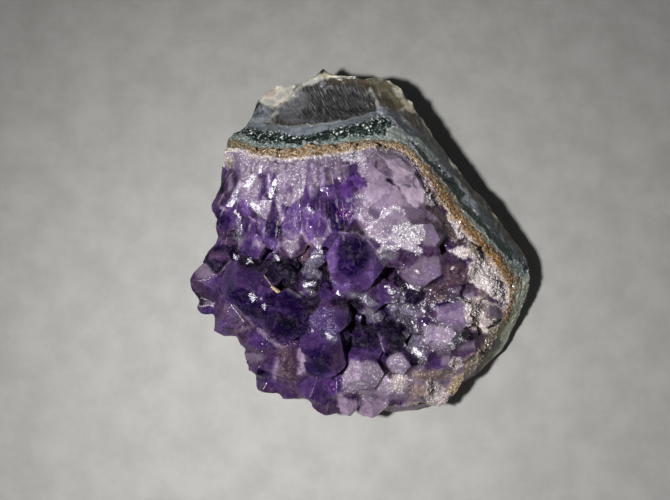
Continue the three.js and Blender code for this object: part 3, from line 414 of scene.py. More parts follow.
# Glints, painted highlights: reach, then the x and y of each place
GLINTS = [
    (0.7, -26.2, 16.8, -27.3, 14.6), (0.6, -20.9, 15.6, -21.8, 11.8), (0.35, -24.2, 19.6, -24.5, 17.8),
    (0.6, -26, 9.8, -24.6, 9), (0.35, -30.2, 8.2, -28.8, 6.6), (0.5, -10.6, 0.2, -9.6, -1.6),
    (0.25, -12, -3, -10.4, -2.6), (0.35, -12.8, 9, -12, 8.6), (0.5, -29.9, -2.8, -29.6, -3.1),
    (0.35, -26.8, -3.6, -26.2, -3.9), (0.4, -20.4, -2.7, -19.6, -3.4), (0.7, -25.6, -12.2, -25.1, -12.8),
    (0.3, -23.6, -12.2, -23.4, -12.5), (0.55, 5.6, -10, 6.8, -11.2), (0.3, -22.8, -14, -22.6, -15.4),
    (0.6, 11.8, -24.4, 13, -25.6), (0.3, 20.8, -5.6, 21.8, -5.4), (0.3, 23.4, -7.2, 23.7, -7.4),
    (0.25, 8, -6.4, 8.4, -6.6), (0.25, -11.6, -20, -11.4, -20.2), (0.3, 22.2, -21.8, 23, -22.2),
    (0.5, 20.2, -23, 20.6, -23.8), (0.35, -8.2, -20.8, -7.4, -21.6), (0.3, 13.8, -15.3, 14.2, -15.6),
    (0.3, 11.2, -9.8, 12, -10.4), (0.25, 25.2, -15, 25.4, -15.2), (0.3, 12.8, -6.4, 13, -6.6),
    (0.4, -13.4, -9.6, -11.2, -9), (0.25, -0.8, -17.4, 0.2, -15.8), (0.35, 10.2, -9.6, 10.6, -10),
    (0.3, 5.2, -36, 5.4, -36),
]
# Bumps and dents of the outline: x, y and reach on the level plane, and how far the middle moves
NUDGES = [
    (-23.4, 37, 6, -1.2, 0.9), (-20.5, 40, 5, -0.4, 2.2), (-31.5, 27, 3.4, -1.4, 0.4),
    (-14.5, 42.4, 4, 0.2, -0.6), (-5, 44.4, 3.6, 0, -1.2), (-11.6, 44, 1.6, 0, -0.6), (-35, 14.6, 5, 1.7, 0),
    (-35.6, 2.4, 3.6, 2.6, 0.4), (-36.4, -16.6, 4, -0.8, -1.2), (-32.4, -21, 4, -0.9, -1.1),
    (-4.6, -37, 3, 0, -1.6), (13, 36.4, 2.2, 0.7, 0.6), (18.6, 29.6, 2.4, 0.9, 0.8),
    (23.6, 21.6, 2, 0.7, 0.5), (29, 13.8, 2, 0.6, 0.4), (34.6, 8, 2.4, 0.8, 0.5), (24, -33, 7, -1.1, 1.1),
    (35, -21, 6, -0.9, 0.6), (1, -40, 3, 0, -0.8),
]
# Where crystals have grown into one mass, with only low steps between them: how far above its mean level its
# low parts are raised, by how much it swells and shrinks back, then its reach and its line
MASSES = [
    (1.8, 1.0, 5.5, 4, 20, 9, 20.5, 13, 15.5, 12, 10, 5, 12), (0.2, 0.6, 4, 15, 16, 23, 0, 30, -11),
    (-0.8, 0.8, 5, -36, -11, -25, -18), (-0.6, 0.8, 5, -24, -28, -9, -34),
    (0.2, 1.0, 5, 22, -26, 14, -34, 1, -35), (-0.6, 0.8, 6, 8, -7, 14, -7, 18, -17),
]

# Larger crystals in the dark hollows: x and y of the foot on the level plane, radius, height, and how far the
# tip leans across and up
HOLLOW_CRYSTALS = [
    (0.6, -21.4, 2.9, 3.6, -0.8, 1.4), (6.9, -22.4, 2.8, 3.8, 1.2, 0.6), (3.4, -16.4, 2.3, 3.0, 0.4, -1.0),
    (-11.4, -7.0, 2.5, 3.0, 1.0, 0.8), (-11.8, -14.6, 2.2, 2.8, 0.2, -1.0),
    (-18.2, -6.4, 2.8, 3.2, -1.0, 1.0), (10.8, -11.6, 2.1, 2.8, 0.2, 0.6),
    (6.0, -6.3, 1.8, 2.4, 0.6, -0.4), (17.0, -1.3, 1.4, 2.0, 0.3, 0.3),
]

# Crystals that lie over the edge: where the foot and the tip are seen, how far the tip drops, radius
EDGE_CRYSTALS = [((-3.4, -33.6), (-3.0, -39.0), 3.0, 2.4), ((-0.6, -34.4), (0.4, -38.6), 2.5, 1.8)]

# Dry splinter and its hair: start and end as read on the level plane, and radius
SPLINTER = [((-19.3, -11.2), (-21.2, -9.7), 0.38), ((-20.9, -9.9), (-22.9, -7.2), 0.10)]

# Palisade under the thick rim
FAN_MIDDLE = np.array([-11.0, 54.0])  # place on the level plane that its columns spread from
FAN_REACH = 44.0  # from there to the columns
FAN_TURNS = (-24.0, 16.0, 4.5)  # first, last and step, in degrees
FAN_ROWS = ((34, 43), (40, 50))  # how far from the middle each row starts and ends
FIBRE_STRETCH = 4.0  # length of the columns' fibres as a share of their width

# Quartz points, as shares of their radius, and of their length
HEAD_HEIGHT = 1.1
HEAD_SKEW = 0.9
LEAST_PRISM = 0.3

# Small crystals in the gaps: how many places are tried and between which x and y, how far the heights round a
# place are read, the least depth of a gap, and the place that they lean to
GAP_TRIES = 700
GAP_ACROSS = (-40, 34)
GAP_UP = (-42, 18)
GAP_RING = 3.2
GAP_DEPTH = 1.0
LEAN_TO = np.array([-14.0, -14.0, 62.0])

# Edge of the crust, lowered to the rim that it meets: the directions that this fades out between, in degrees,
# how far inside the rim it starts and is full, how steeply the crust may rise there, and how far it is lowered
SETTLE_FADE = (88, 74)
SETTLE_INSIDE = (4.0, 1.5)
SETTLE_RISE = 0.45
SETTLE_SHARE = 0.9

# Grains along the rim: how far the heights round a place are read, and the x from which they are amber
RIM_RING = 0.6
AMBER_FROM = 14

# Columns of a look behind the three of its colour, first for crystals, then for agate
CLEAR, SPARKLE, ROUGH, CRUMBLY, GLINT = range(3, 8)
STREAKED, AGATE_ROUGH, TINTED = range(3, 6)
# Look of the agate before it is painted
BARE_AGATE = (0.1, 0.1, 0.1, 0.0, 0.45, 0.0)


# Shape helpers

def smooth_step(low, high, values):
    """0 below low, 1 above high, and a smooth rise between them."""
    share = np.clip((values - low) / (high - low), 0, 1)
    return share * share * (3 - 2 * share)


def mix(first, second, share):
    return first + (second - first) * share


def light_of(colour):
    """The share of light that a surface sends back, from the colour it looks, 0 to 255."""
    value = np.array(colour) / 255
    return np.where(value > 0.04045, ((value + 0.055) / 1.055) ** 2.4, value / 12.92)


def unit(vectors):
    return vectors / np.maximum(np.linalg.norm(vectors, axis=-1, keepdims=True), 1e-12)


def corner_numbers(cells, seed):
    """A repeatable whole number from 0 to 2^20 for each cell of a grid."""
    mixed = cells[..., 0] * 73856093 ^ cells[..., 1] * 19349663 ^ cells[..., 2] * 83492791 ^ seed * 2654435761
    mixed = (mixed ^ (mixed >> 13)) * 1274126177
    return (mixed ^ (mixed >> 16)) & 0xFFFFF


def random_vectors(cells, seed):
    """A repeatable vector for each cell, each part from -1 to 1."""
    parts = [corner_numbers(cells, seed + step) / 0x80000 - 1 for step in (0, 101, 202)]
    return np.stack(parts, axis=-1)


def noise(points, size, seed):
    """Smooth noise, about -1 to 1, with features of the given size."""
    spread = points / size
    cells = np.floor(spread).astype(np.int64)
    part = spread - cells
    fade = part ** 3 * (part * (part * 6 - 15) + 10)
    total = np.zeros(len(points))
    for corner in itertools.product((0, 1), repeat=3):
        slope = unit(random_vectors(cells + corner, seed))
        weight = np.prod(np.where(corner, fade, 1 - fade), axis=1)
        total += weight * ((part - corner) * slope).sum(axis=1)
    return total * 1.6


def drift(points, size, seed):
    """A smooth shift in two directions at each point, each part about -1 to 1."""
    return np.stack([noise(points, size, seed), noise(points, size, seed + 1)], axis=1)


def chips(points, size, tilt, seed):
    """Offsets that break a surface into flat chips of about the given size, each tilted its own way."""
    spread = points / size
    cells = np.floor(spread).astype(np.int64)
    nearest = np.full(len(points), np.inf)
    offset = np.zeros(len(points))
    for step in itertools.product((-1, 0, 1), repeat=3):
        cell = cells + step
        away = spread - (cell + 0.5 + 0.5 * random_vectors(cell, seed))
        distance = (away ** 2).sum(axis=1)
        closer = distance < nearest
        nearest[closer] = distance[closer]
        lean = unit(random_vectors(cell[closer], seed + 7))
        offset[closer] = (away[closer] * lean).sum(axis=1)
    return offset * size * tilt


# Places as the camera sees them

def read_places(points):
    """Where the camera sees each point, read on the level plane."""
    way = points - EYE
    share = (READ_HEIGHT - EYE[2]) / way[:, 2]
    return (EYE + way * share[:, None] + READ_SHIFT)[:, :2]


def way_to_stroke(places, start, end):
    run = np.subtract(end, start)
    share = np.clip((places - start) @ run / max(run @ run, 1e-9), 0, 1)
    return np.linalg.norm(places - start - share[:, None] * run, axis=1)


def way_past_line(places, line):
    """How far each place is from a line, more than 0 on its left as it runs."""
    nearest = np.full(len(places), np.inf)
    side = np.ones(len(places))
    corners = np.reshape(line, (-1, 2))
    for start, end in zip(corners[:-1], corners[1:]):
        way = way_to_stroke(places, start, end)
        run = np.subtract(end, start)
        away = places - start
        cross = run[0] * away[:, 1] - run[1] * away[:, 0]
        closer = way < nearest - 1e-9
        nearest[closer] = way[closer]
        side[closer] = np.sign(cross[closer])
    return side * nearest


def band_depth(places):
    """Which band each place is in: 0 to 1 in the first, 1 to 2 in the second, less than 0 inside them."""
    ways = [way_past_line(places, line) for line in BAND_LINES]
    depth = np.where(ways[0] < 0, ways[0], 0.0)
    for inner, outer in zip(ways[:-1], ways[1:]):
        inner = np.maximum(inner, 0)
        depth += inner / np.maximum(inner + np.maximum(-outer, 0), 1e-6)
    return depth + np.maximum(ways[-1], 0)


def way_outside(places, corners):
    """How far each place is outside a shape, less than 0 inside it."""
    way = np.full(len(places), np.inf)
    inside = np.zeros(len(places), bool)
    for start, end in zip(corners, np.roll(corners, -1, axis=0)):
        way = np.minimum(way, way_to_stroke(places, start, end))
        run = end - start
        away = places - start
        crossed = (start[1] > places[:, 1]) != (end[1] > places[:, 1])
        inside ^= crossed & ((run[0] * away[:, 1] > run[1] * away[:, 0]) == (run[1] > 0))
    return np.where(inside, -way, way)


def way_past_stroke(places, reach, line):
    """How far each place is outside a stroke, or outside the shape that it fills, less than 0 inside it."""
    corners = np.reshape(line, (-1, 2)).astype(float)
    if not reach:
        return way_outside(places, corners)
    runs = zip(corners[:-1], corners[1:])
    return np.min([way_to_stroke(places, start, end) for start, end in runs], axis=0) - reach


def painted(look, places, warp, strokes, kinds, soft=0.22):
    """The look with each stroke's kind laid over the places that it reaches, its border warped."""
    for kind, reach, *line in strokes:
        corners = np.reshape(line, (-1, 2))
        margin = 1.5 * reach + 1.5
        near = ((places > corners.min(axis=0) - margin) & (places < corners.max(axis=0) + margin)).all(axis=1)
        near = np.nonzero(near)[0]
        if len(near):
            moved = places[near] + warp[near] * min(reach or 1.0, 1.0)
            edge = soft * reach + 0.1 if reach else 0.3
            share = smooth_step(edge, -edge, way_past_stroke(moved, reach, line))[:, None]
            look[near] = mix(look[near], kinds[kind], share)
    return look


def nudged(points):
    """Points moved by the outline's bumps and dents."""
    places = read_places(points)
    moved = points.copy()
    for x, y, reach, across, up in NUDGES:
        share = smooth_step(reach, 0, np.linalg.norm(places - (x, y), axis=1))[:, None]
        moved[:, :2] += share * (across, up)
    return moved


# Mesh helpers

def new_piece(name, points, faces):
    """An object whose mesh has these points, in millimetres."""
    mesh = bpy.data.meshes.new(name)
    mesh.from_pydata((points * MM).tolist(), [], faces)
    mesh.update()
    piece = bpy.data.objects.new(name, mesh)
    bpy.context.scene.collection.objects.link(piece)
    return piece


def numbers_of(items, name, width, kind=np.float32):
    """One property of all points, edges or faces of a mesh, a row of numbers for each."""
    flat = np.empty(len(items) * width, kind)
    items.foreach_get(name, flat)
    return flat.reshape(-1, width)


def points_of(piece):
    return numbers_of(piece.data.vertices, "co", 3).astype(float) / MM


def normals_of(piece):
    return numbers_of(piece.data.vertex_normals, "vector", 3).astype(float)


def edges_of(piece):
    return numbers_of(piece.data.edges, "vertices", 2, np.int32)


def faces_of(piece):
    return [tuple(face.vertices) for face in piece.data.polygons]


def move_points(piece, points):
    piece.data.vertices.foreach_set("co", (points * MM).astype(np.float32).ravel())
    piece.data.update()


def applied(piece, kind, **settings):
    """The piece with one modifier applied."""
    modifier = piece.modifiers.new(kind, kind)
    for name, value in settings.items():
        setattr(modifier, name, value)
    graph = bpy.context.evaluated_depsgraph_get()
    mesh = bpy.data.meshes.new_from_object(piece.evaluated_get(graph))
    piece.modifiers.clear()
    old = piece.data
    piece.data = mesh
    bpy.data.meshes.remove(old)
    return piece


def remeshed(piece, voxel):
    return applied(piece, "REMESH", mode="VOXEL", voxel_size=voxel * MM, adaptivity=0.0)


def triangle_count(piece):
    return sum(len(face.vertices) - 2 for face in piece.data.polygons)


def thinned(piece, most):
    count = triangle_count(piece)
    if count > most:
        applied(piece, "DECIMATE", ratio=most / count)
    return piece


def search_tree(piece):
    return BVHTree.FromPolygons(points_of(piece).tolist(), faces_of(piece))


def seen_at(tree, x, y):
    """The point of a surface that the camera sees at a place read on the level plane, or None."""
    aim = np.array([x, y, READ_HEIGHT]) - READ_SHIFT - EYE
    return tree.ray_cast(Vector(EYE), Vector(unit(aim)))[0]


def height_above(tree, x, y, missing=None):
    """The height of the highest surface at a place, straight down from above."""
    hit = tree.ray_cast(Vector((x, y, ABOVE_ALL)), Vector((0, 0, -1)))[0]
    return hit.z if hit else missing


def heights_round(tree, x, y, reach, count, missing=None):
    """The heights of a surface at places on a ring round a place."""
    turns = np.arange(count) * 2 * math.pi / count
    return [height_above(tree, x + reach * math.cos(turn), y + reach * math.sin(turn), missing)
            for turn in turns]


def relaxed(points, edges, rounds):
    """Points after several rounds of moving halfway to the middle of their neighbours."""
    count = np.bincount(edges.ravel(), minlength=len(points))
    result = points.copy()
    for _ in range(rounds):
        around = np.zeros_like(result)
        for axis in range(3):
            around[:, axis] = (np.bincount(edges[:, 0], result[edges[:, 1], axis], len(points))
                               + np.bincount(edges[:, 1], result[edges[:, 0], axis], len(points)))
        result = 0.5 * result + 0.5 * around / np.maximum(count, 1)[:, None]
    return result


def store(piece, **lists):
    """Keeps numbers, colours or directions for each point of the mesh, or for each face."""
    for name, values in lists.items():
        domain = "POINT" if len(values) == len(piece.data.vertices) else "FACE"
        if values.ndim == 1:
            kind, part = "FLOAT", "value"
        elif name.endswith(("place", "direction")):
            kind, part = "FLOAT_VECTOR", "vector"
        else:
            kind, part = "FLOAT_COLOR", "color"
            values = np.column_stack([values, np.ones(len(values))])
        attribute = piece.data.attributes.new(name, kind, domain)
        attribute.data.foreach_set(part, values.astype(np.float32).ravel())


def shade(piece, sharp_angle):
    """Smooth shading, but for edges that turn by more than the angle, in degrees."""
    piece.data.polygons.foreach_set("use_smooth", [True] * len(piece.data.polygons))
    piece.data.set_sharp_from_angle(angle=math.radians(sharp_angle))
    piece.data.update()


# Rim of the rind

class Rim:
    """The rim's inner edge, seen from above, found as the highest line of the rind round the hollow."""

    OUTWARD_BIAS = 0.12
    DIRECTIONS = 180
    WAYS = np.arange(8.0, 56.0, 0.25)  # from the middle of the hollow

    def __init__(self, rind):
        tree = search_tree(rind)
        self.angles = np.linspace(-math.pi, math.pi, self.DIRECTIONS, endpoint=False)
        self.inner = []
        for angle in self.angles:
            heights = [height_above(tree, *self.spot(angle, way), -1.0) for way in self.WAYS]
            best = int(np.argmax(heights + self.OUTWARD_BIAS * self.WAYS))
            self.inner.append([*self.spot(angle, self.WAYS[best]), heights[best]])
        self.inner = np.array(self.inner)
        self.inner_radii = np.linalg.norm(self.inner[:, :2] - HOLLOW_MIDDLE, axis=1)

    @staticmethod
    def spot(angle, way):
        return HOLLOW_MIDDLE + way * np.array([math.cos(angle), math.sin(angle)])

    @staticmethod
    def angle_of(points):
        away = points[:, :2] - HOLLOW_MIDDLE
        return np.arctan2(away[:, 1], away[:, 0])

    def around(self, values, points):
        """Values kept by direction, at the direction of each point."""
        return np.interp(self.angle_of(points), self.angles, values, period=2 * math.pi)

    def outside(self, points):
        """How far each point is outside the inner edge, seen from above, less than 0 inside it."""
        corners = self.inner[:, :2]
        least = np.full(len(points), np.inf)
        for start, end in zip(corners, np.roll(corners, -1, axis=0)):
            least = np.minimum(least, way_to_stroke(points[:, :2], start, end))
        radii = np.linalg.norm(points[:, :2] - HOLLOW_MIDDLE, axis=1)
        return np.where(radii > self.around(self.inner_radii, points), 1, -1) * least


# Facets of the crystals

class Facets:
    """The flat faces of a piece before it is remeshed, each with its middle and three random numbers."""

    def __init__(self, piece, random):
        polygons = piece.data.polygons
        normals = np.array([face.normal for face in polygons])
        centres = np.array([face.center for face in polygons]) / MM
        areas = np.array([face.area for face in polygons])
        planes = np.column_stack([np.round(normals, 2), np.round((normals * centres).sum(axis=1), 1)])
        self.group = np.unique(planes, axis=0, return_inverse=True)[1].ravel()
        total = np.bincount(self.group, areas)
        self.directions = unit(self.gathered(areas, normals))
        self.middles = self.gathered(areas, centres) / total[:, None]
        self.numbers = random.random((len(total), 3))
        self.tree = search_tree(piece)

    def gathered(self, areas, vectors):
        """The sum of the faces' vectors in each facet, by their areas."""
        return np.column_stack([np.bincount(self.group, areas * column) for column in vectors.T])

    def nearest(self, points):
        """The facet nearest each point."""
        faces = [self.tree.find_nearest(Vector(point))[2] for point in points]
        return self.group[faces]


def way_to_border(facet, points, edges, most):
    """How far each point is from the border of its facet, up to a limit, measured along the mesh's edges."""
    away = np.full(len(facet), most)
    crossing = facet[edges[:, 0]] != facet[edges[:, 1]]
    away[edges[crossing].ravel()] = 0
    lengths = np.linalg.norm(points[edges[:, 0]] - points[edges[:, 1]], axis=1)
    for _ in range(int(most / 0.25)):
        near = np.minimum(away[edges[:, 0]], away[edges[:, 1]]) + lengths
        np.minimum.at(away, edges[:, 0], near)
        np.minimum.at(away, edges[:, 1], near)
    return away


# Materials

class Nodes:
    """A material's nodes, added one at a time with their inputs."""

    def __init__(self, name):
        self.material = bpy.data.materials.new(name)
        self.material.use_nodes = True
        self.tree = self.material.node_tree
        self.shader = self.tree.nodes["Principled BSDF"]
        self.output = self.tree.nodes["Material Output"]
        place = self.add("ShaderNodeTexCoord").outputs["Object"]
        self.place = self.vector("MULTIPLY", place, (1 / MM,) * 3)

    def put(self, socket, value):
        if isinstance(value, bpy.types.NodeSocket):
            self.tree.links.new(value, socket)
        elif isinstance(value, (tuple, list)) and socket.type == "RGBA":
            socket.default_value = (*value[:3], 1.0)
        else:
            socket.default_value = value

    def add(self, kind, *inputs, named=None, **settings):
        node = self.tree.nodes.new(kind)
        for name, value in settings.items():
            setattr(node, name, value)
        for socket, value in zip(node.inputs, inputs):
            self.put(socket, value)
        for name, value in (named or {}).items():
            self.put(node.inputs[name], value)
        return node

    def math(self, operation, *inputs, clamp=False):
        return self.add("ShaderNodeMath", *inputs, operation=operation, use_clamp=clamp).outputs[0]

    def times(self, first, second, clamp=False):
        return self.math("MULTIPLY", first, second, clamp=clamp)

    def times_plus(self, first, second, third, clamp=False):
        return self.math("MULTIPLY_ADD", first, second, third, clamp=clamp)

    def vector(self, operation, *inputs, named=None):
        return self.add("ShaderNodeVectorMath", *inputs, named=named, operation=operation).outputs[0]

    def attribute(self, name, output="Fac"):
        return self.add("ShaderNodeAttribute", attribute_name=name).outputs[output]

    def noise(self, size, detail=3.0, rough=0.5, place=None, distortion=0.0):
        """Noise from 0 to 1 with features of the given size."""
        named = {"Vector": place or self.place, "Scale": 1 / size, "Detail": detail, "Roughness": rough,
                 "Distortion": distortion}
        return self.add("ShaderNodeTexNoise", named=named).outputs["Fac"]

    def cells(self, size, output="Color"):
        """A random colour for each small cell, or the way to its middle."""
        named = {"Vector": self.place, "Scale": 1 / size}
        return self.add("ShaderNodeTexVoronoi", named=named).outputs[output]

    def span(self, value, low, high, first=0.0, last=1.0):
        """A smooth step from the first number at low to the last at high."""
        named = {"Value": value, "From Min": low, "From Max": high, "To Min": first, "To Max": last}
        return self.add("ShaderNodeMapRange", named=named, interpolation_type="SMOOTHSTEP").outputs["Result"]

    def blend(self, share, first, second, how="MIX"):
        node = self.add("ShaderNodeMix", data_type="RGBA", blend_type=how)
        for socket, value in zip((node.inputs[0], node.inputs[6], node.inputs[7]), (share, first, second)):
            self.put(socket, value)
        return node.outputs[2]

    def ramp(self, value, stops):
        node = self.add("ShaderNodeValToRGB", value)
        elements = node.color_ramp.elements
        while len(elements) < len(stops):
            elements.new(0.5)
        for element, (position, colour) in zip(elements, stops):
            element.position = position
            element.color = (*colour, 1.0)
        return node.outputs["Color"]

    def facets(self, size, amount, name):
        """The direction that a mesh keeps under a name, tilted at random from one small cell to the next."""
        tilt = self.vector("SUBTRACT", self.cells(size), (0.5, 0.5, 0.5))
        scaled = self.vector("SCALE", tilt, named={"Scale": amount})
        total = self.vector("ADD", self.attribute(name, "Vector"), scaled)
        turned = self.add("ShaderNodeVectorTransform", total, vector_type="NORMAL",
                          convert_from="OBJECT", convert_to="WORLD").outputs[0]
        behind = self.add("ShaderNodeNewGeometry").outputs["Backfacing"]
        outward = self.vector("SCALE", turned, named={"Scale": self.times_plus(behind, -2.0, 1.0)})
        return self.vector("NORMALIZE", outward)

    def bump(self, height, distance, strength, normal=None):
        named = {"Height": height, "Distance": distance * MM, "Strength": strength}
        if normal is not None:
            named["Normal"] = normal
        return self.add("ShaderNodeBump", named=named).outputs["Normal"]

    def surface(self, **inputs):
        for name, value in inputs.items():
            self.put(self.shader.inputs[name.replace("_", " ").title().replace("Ior", "IOR")], value)
        return self.material


def crystal_material():
    nodes = Nodes("amethyst")
    tint = nodes.attribute("tint", "Color")
    kept = ("clear", "sparkle", "edge", "rough", "fibre", "glint")
    clear, sparkle, edge, rough, fibre, glint = map(nodes.attribute, kept)

    clouds = nodes.noise(3.2, detail=4, rough=0.6, distortion=0.8)
    mottle = nodes.noise(1.2, detail=4, rough=0.6, distortion=0.4)
    fine = nodes.noise(0.55, detail=3, rough=0.6)
    streaks = nodes.noise(1.0, detail=4, rough=0.6, place=nodes.attribute("fibre_place", "Vector"))
    deep = nodes.blend(nodes.span(clouds, 0.40, 0.62), tint, (0.42, 0.34, 0.60), "MULTIPLY")
    colour = nodes.blend(nodes.times_plus(clear, 1.1, 0.15, clamp=True), tint, deep)
    colour = nodes.blend(nodes.span(mottle, 0.50, 0.30, 0.0, 0.4), colour, (0.5, 0.42, 0.62), "MULTIPLY")
    pale = nodes.blend(0.35, tint, (0.50, 0.42, 0.56))
    patches = nodes.times(nodes.span(mottle, 0.56, 0.74, 0.0, 0.35), nodes.span(clear, 0.5, 0.1, 0.06))
    colour = nodes.blend(patches, colour, pale)
    from_middle = nodes.math("SUBTRACT", nodes.noise(4.2, 3, 0.6), 0.5)
    veils = nodes.span(nodes.math("ABSOLUTE", from_middle), 0.010, 0.0)
    colour = nodes.blend(nodes.times(veils, 0.16), colour, (0.42, 0.35, 0.48))
    dark_streaks = nodes.times(nodes.span(streaks, 0.50, 0.36), nodes.times(fibre, 0.40))
    colour = nodes.blend(dark_streaks, colour, (0.42, 0.30, 0.55), "MULTIPLY")
    pale_streaks = nodes.times(nodes.span(streaks, 0.56, 0.70), nodes.times(fibre, 0.40))
    colour = nodes.blend(pale_streaks, colour, (0.80, 0.72, 0.82))
    # Paler convex edges and facet borders: partly wear, partly a painted highlight
    edge_wear_and_highlight = nodes.times(edge, nodes.span(mottle, 0.40, 0.66, 0.0, 0.22))
    colour = nodes.blend(edge_wear_and_highlight, colour, (0.30, 0.21, 0.34))
    # Painted highlights: soft and crisp white sparkles where the crust sparkles
    soft_painted_sparkles = nodes.times(nodes.span(fine, 0.60, 0.70), nodes.times(sparkle, 0.5))
    colour = nodes.blend(soft_painted_sparkles, colour, (0.80, 0.76, 0.82))
    chance = nodes.times_plus(mottle, 0.4, nodes.cells(0.27))
    chance = nodes.times_plus(sparkle, 0.12, chance)
    crisp_painted_sparkles = nodes.times(nodes.span(chance, 0.99, 1.06), nodes.span(sparkle, 0.16, 0.45, 0.0, 0.9))
    colour = nodes.blend(crisp_painted_sparkles, colour, (0.94, 0.92, 0.95))
    # Painted shade: darker spots in small pits where the crust sparkles
    pit_shade = nodes.times(nodes.span(fine, 0.40, 0.30), nodes.times(sparkle, 0.4))
    colour = nodes.blend(pit_shade, colour, (0.30, 0.24, 0.34), "MULTIPLY")
    # Painted highlights: broken bright patches where the crust glints
    broken = nodes.times_plus(nodes.noise(0.6, 2, 0.6, distortion=1.5), 7.0, -3.85)
    glint_highlight = nodes.span(nodes.math("ADD", glint, broken), 0.42, 0.58)
    colour = nodes.blend(nodes.times(glint_highlight, nodes.span(glint, 0.05, 0.3)), colour, (0.86, 0.84, 0.88))

    transmission = nodes.times(clear, nodes.span(mottle, 0.62, 0.45, 0.8, 1.0), clamp=True)
    tilt = nodes.times(nodes.math("POWER", sparkle, 1.4), 0.85)
    relief = nodes.times_plus(streaks, nodes.times(fibre, 1.2), nodes.noise(0.5, 3))
    normal = nodes.bump(relief, 0.06, 0.7, nodes.facets(0.34, tilt, "direction"))
    roughness = nodes.times(rough, nodes.span(fine, 0.3, 0.7, 0.6, 1.5))
    nodes.surface(base_color=colour, transmission_weight=transmission, normal=normal, roughness=roughness,
                  ior=QUARTZ_IOR, specular_ior_level=0.3)
    absorption = nodes.add("ShaderNodeVolumeAbsorption", ABSORBED_TINT, ABSORPTION)
    nodes.tree.links.new(absorption.outputs[0], nodes.output.inputs["Volume"])
    return nodes.material


def rind_material():
    nodes = Nodes("agate_rind")
    tint = nodes.attribute("tint", "Color")
    kept = ("depth", "skin", "tinted", "streaked", "rough")
    depth, skin, tinted, streaked, rough = map(nodes.attribute, kept)

    wander = nodes.times_plus(nodes.noise(1.3, 4, 0.65), 1.1, -0.55)
    jagged = nodes.times_plus(nodes.cells(0.6), 0.6, -0.30)
    band = nodes.math("ADD", depth, nodes.math("ADD", wander, jagged))
    fine = nodes.noise(0.5, 4, 0.65)
    lumps = nodes.noise(1.8, 4, 0.6)
    grain = nodes.cells(0.42)
    turned = {"Vector": nodes.place, "Rotation": (0, 0, 0.36), "Scale": (0.34, 2.8, 2.0)}
    streak_place = nodes.add("ShaderNodeMapping", named=turned, vector_type="TEXTURE").outputs[0]
    streaks = nodes.noise(1.0, 4, 0.7, place=streak_place)

    sugar = nodes.blend(nodes.span(fine, 0.35, 0.6), (0.34, 0.26, 0.22), (0.80, 0.76, 0.74))
    ochre = nodes.ramp(fine, [(0.34, (0.05, 0.035, 0.02)), (0.48, (0.18, 0.13, 0.075)),
                              (0.60, (0.34, 0.27, 0.18)), (0.70, (0.70, 0.64, 0.54))])
    teal = nodes.ramp(fine, [(0.36, (0.07, 0.10, 0.095)), (0.5, (0.17, 0.21, 0.20)),
                             (0.64, (0.46, 0.50, 0.47))])
    more = nodes.times_plus(nodes.span(band, 2.1, 2.9), 0.08, grain)
    green = nodes.ramp(more, [(0.0, (0.001, 0.004, 0.003)), (0.58, (0.004, 0.011, 0.009)),
                              (0.72, (0.03, 0.055, 0.048)), (0.82, (0.16, 0.20, 0.18)),
                              (0.92, (0.80, 0.84, 0.80))])
    blue = nodes.blend(nodes.span(lumps, 0.3, 0.7), (0.125, 0.143, 0.165), (0.21, 0.235, 0.26))
    agate = nodes.blend(nodes.span(lumps, 0.3, 0.7), (0.045, 0.043, 0.036), (0.16, 0.15, 0.12))

    colour = nodes.blend(nodes.span(band, -0.15, 0.15), sugar, ochre)
    colour = nodes.blend(nodes.span(band, 0.85, 1.15), colour, teal)
    colour = nodes.blend(nodes.span(band, 1.9, 2.1), colour, green)
    colour = nodes.blend(nodes.span(band, 2.85, 3.1), colour, blue)
    colour = nodes.blend(nodes.span(depth, 3.8, 4.1), colour, agate)
    varied = nodes.blend(nodes.span(lumps, 0.65, 0.35, 0.0, 0.5), tint, (0.55, 0.55, 0.55), "MULTIPLY")
    varied = nodes.blend(nodes.span(fine, 0.55, 0.75, 0.0, 0.25), varied, (0.60, 0.58, 0.52))
    dark_streaks = nodes.times(nodes.span(streaks, 0.54, 0.42), streaked)
    varied = nodes.blend(dark_streaks, varied, (0.28, 0.28, 0.28), "MULTIPLY")
    pale_streaks = nodes.times(nodes.span(streaks, 0.56, 0.68), nodes.times(streaked, 0.6))
    varied = nodes.blend(pale_streaks, varied, (0.34, 0.34, 0.34))
    colour = nodes.blend(tinted, colour, varied)
    patchy = nodes.span(nodes.noise(2.2, 5, 0.6), 0.35, 0.65)
    weathered = nodes.blend(patchy, (0.075, 0.072, 0.058), (0.24, 0.23, 0.19))
    colour = nodes.blend(skin, colour, weathered)

    grainy = nodes.times(nodes.span(band, 3.0, 2.8), nodes.cells(0.34, "Distance"))
    bumps = nodes.math("ADD", nodes.noise(0.8, 5, 0.6), grainy)
    bumps = nodes.times_plus(streaks, nodes.times(streaked, 0.8), bumps)
    normal = nodes.bump(bumps, 0.20, 0.6)
    return nodes.surface(base_color=colour, normal=normal, roughness=rough, ior=AGATE_IOR)


def floor_material():
    nodes = Nodes("pale_floor")
    clouds = nodes.span(nodes.noise(9, 6, 0.62), 0.3, 0.7)
    colour = nodes.blend(clouds, (0.40, 0.39, 0.37), (0.47, 0.46, 0.44))
    return nodes.surface(base_color=colour, roughness=0.75, normal=nodes.bump(nodes.noise(1.4, 5), 0.05, 0.5))


# Pieces

